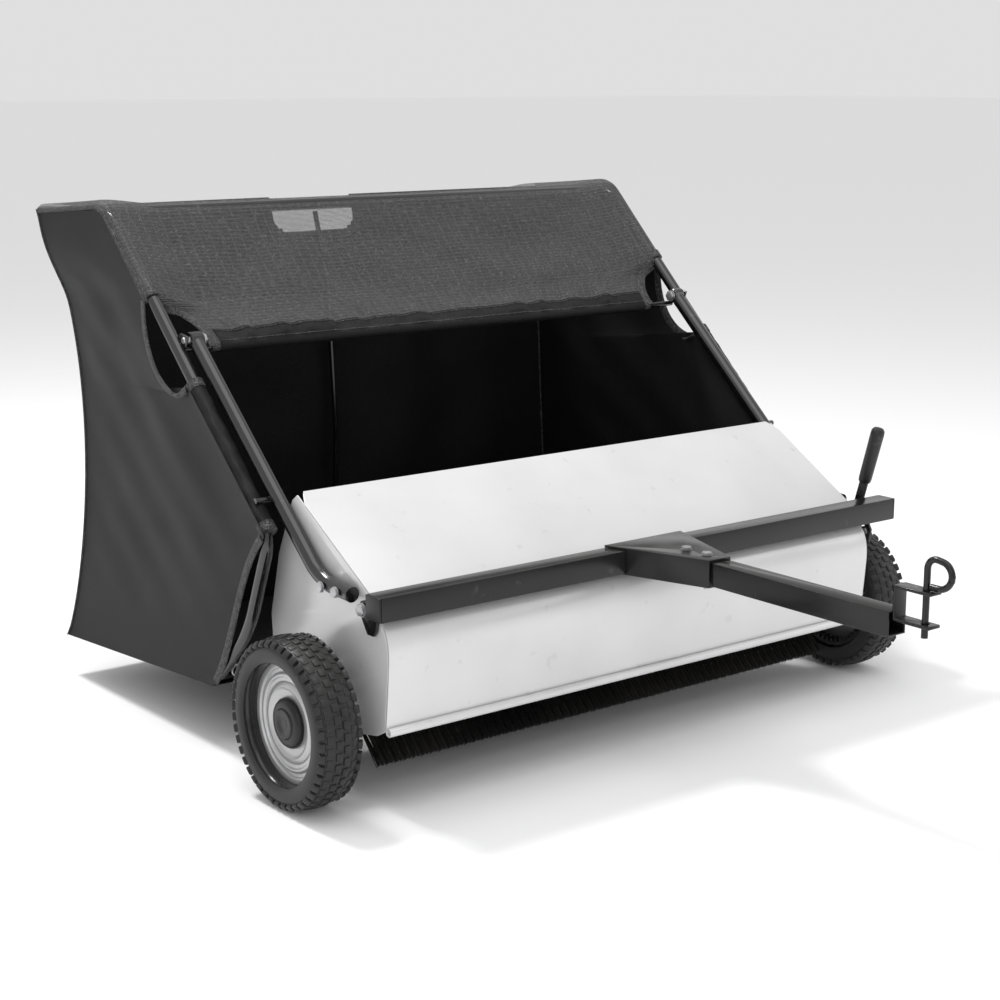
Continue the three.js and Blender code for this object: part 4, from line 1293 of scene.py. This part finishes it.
def share_of_front(point):
    """Where along the front edge, as a fraction, it passes closest to a point."""
    shares = (i / 600 for i in range(601))
    return min(shares, key=lambda share: (front_edge(share) - Vector(point)).length)


SLEEVE_RADIUS = 0.0138
TUBE_FOOT, TUBE_TOP = Vector(SIDE_TUBE[2]), Vector(SIDE_TUBE[3])
tube_way = (TUBE_TOP - TUBE_FOOT).normalized()


def sleeve(name, x, start, end):
    """Cloth gathered round a straight length of side tube."""
    count = round((end - start).length / 0.008)
    rows = []
    for i in range(count + 1):
        place = start.lerp(end, i / count)
        row = []
        for j in range(25):
            turn = 2 * math.pi * j / 24
            radius = SLEEVE_RADIUS + ruffle(i * 0.35, 2 * math.cos(turn), x * 9 + math.sin(turn), 0.0022)
            across = math.cos(turn) * radius
            out = math.sin(turn) * radius
            y = axle_y + place.x - tube_way.y * out
            row.append(Vector((x + across, y, place.y + tube_way.x * out)))
        rows.append(row)
    piece = sewn([cloth_grid(name, rows)], name)
    apply_modifier(piece, "SOLIDIFY", thickness=0.0014, offset=-1)
    return piece


RING_RADIUS = 0.0148
RING_HALF_WIDTH = 0.008


def sleeve_ring(name, x, place):
    """The bound end of a sleeve: a band of tape round the side tube."""
    centre = in_side_plane([place], x)[0]
    way = Vector((0, tube_way.x, tube_way.y)) * RING_HALF_WIDTH
    centres = [Vector(centre) + way * share for share in (-1, -0.8, 0.8, 1)]
    outs = [Vector((0, -tube_way.y, tube_way.x))] * 4
    return add_trim(swept(name, centres, [ACROSS_WAY] * 4, outs, oval(RING_RADIUS, RING_RADIUS, 24)))


def welt(name, line, side_way, out_way, radius):
    """A narrow round welt sewn along a seam."""
    count = len(line)
    return add_trim(swept(name, line, [side_way] * count, [out_way] * count, oval(radius, radius, 8)))


CUT_EDGES = {
    "lower_arc": ((0.284, 0.122), (0.126, 0.396)),
    "cutout": ((0.354, 0.603), (0.493, 0.736)),
}
sleeve_foot = TUBE_FOOT + tube_way * 0.012
SLEEVE_END = Vector((0.350, 0.6067))
UPPER_RING = Vector((0.494, 0.7433))

for side, sign in SIDES:
    for name, ends in CUT_EDGES.items():
        low, high = (share_of_front(end) for end in ends)
        line = [Vector((EDGE_SHARE, low + (high - low) * i / 40)) for i in range(41)]
        surface = lambda u, s, sign=sign: side_point(sign, max(u, 0), s)
        shell_trim.append(tape(f"{name}_tape_{side}", surface, line, sign))
    x = sign * TUBE_X
    shell_trim += [
        add_trim(sleeve(f"sleeve_lower_{side}", x, sleeve_foot, SLEEVE_END), coated_cloth),
        sleeve_ring(f"sleeve_lower_tape_{side}_0", x, sleeve_foot),
        sleeve_ring(f"sleeve_lower_tape_{side}_1", x, SLEEVE_END),
        sleeve_ring(f"sleeve_upper_tape_{side}_0", x, UPPER_RING),
    ]
    seam = [side_point(sign, 1, i / 48) for i in range(49)]
    shell_trim.append(welt(f"rear_welt_{side}", seam, ACROSS_WAY, BACK_WAY, 0.0028))

for side, sign in SIDES:
    ends = steps_between(NOTCH_HALF * sign, (BAG_HALF - 0.002) * sign, 24)
    seam = [back_point(x / BAG_HALF, 1) for x in ends]
    shell_trim.append(welt(f"top_welt_{side}", seam, BACK_WAY, Vector((0, 0, 1)), 0.0032))

FRONT_TUBE = Vector((0.292, 0.138))
HEM_WRAP = 0.0103
hem_rows = []
for degrees in (80, 110, 140, 170, 200, 230, 255, 275):
    turn = math.radians(degrees)
    place = FRONT_TUBE + HEM_WRAP * Vector((math.cos(turn), math.sin(turn)))
    hem_rows.append([
        Vector((v * 0.556, axle_y + place.x + ruffle(v * 16, degrees, 1, 0.002), place.y))
        for v in WIDTHS
    ])
hem_rows.append([Vector((v * 0.574, axle_y + 0.2995, 0.1205)) for v in WIDTHS])
hem_rows.append([bottom_point(v * 0.995, 0.03) + Vector((0, 0, 0.0015)) for v in WIDTHS])
front_hem = sewn([cloth_grid("front_hem", hem_rows)], "front_hem")
apply_modifier(front_hem, "SOLIDIFY", thickness=0.0018, offset=0)
shell_trim.append(add_trim(front_hem, coated_cloth))

for side, sign in SIDES:
    deselect()
    bpy.ops.mesh.primitive_torus_add(major_radius=0.0085, minor_radius=0.0022, major_segments=32,
                                     minor_segments=10)
    grommet = bpy.context.object
    grommet.name = f"hem_grommet_{side}"
    settle(grommet, (sign * 0.548, axle_y + 0.2812, 0.1375), (math.pi / 2, 0, 0))
    shell_trim.append(add_trim(grommet, zinc_plate, "zinc_plate"))
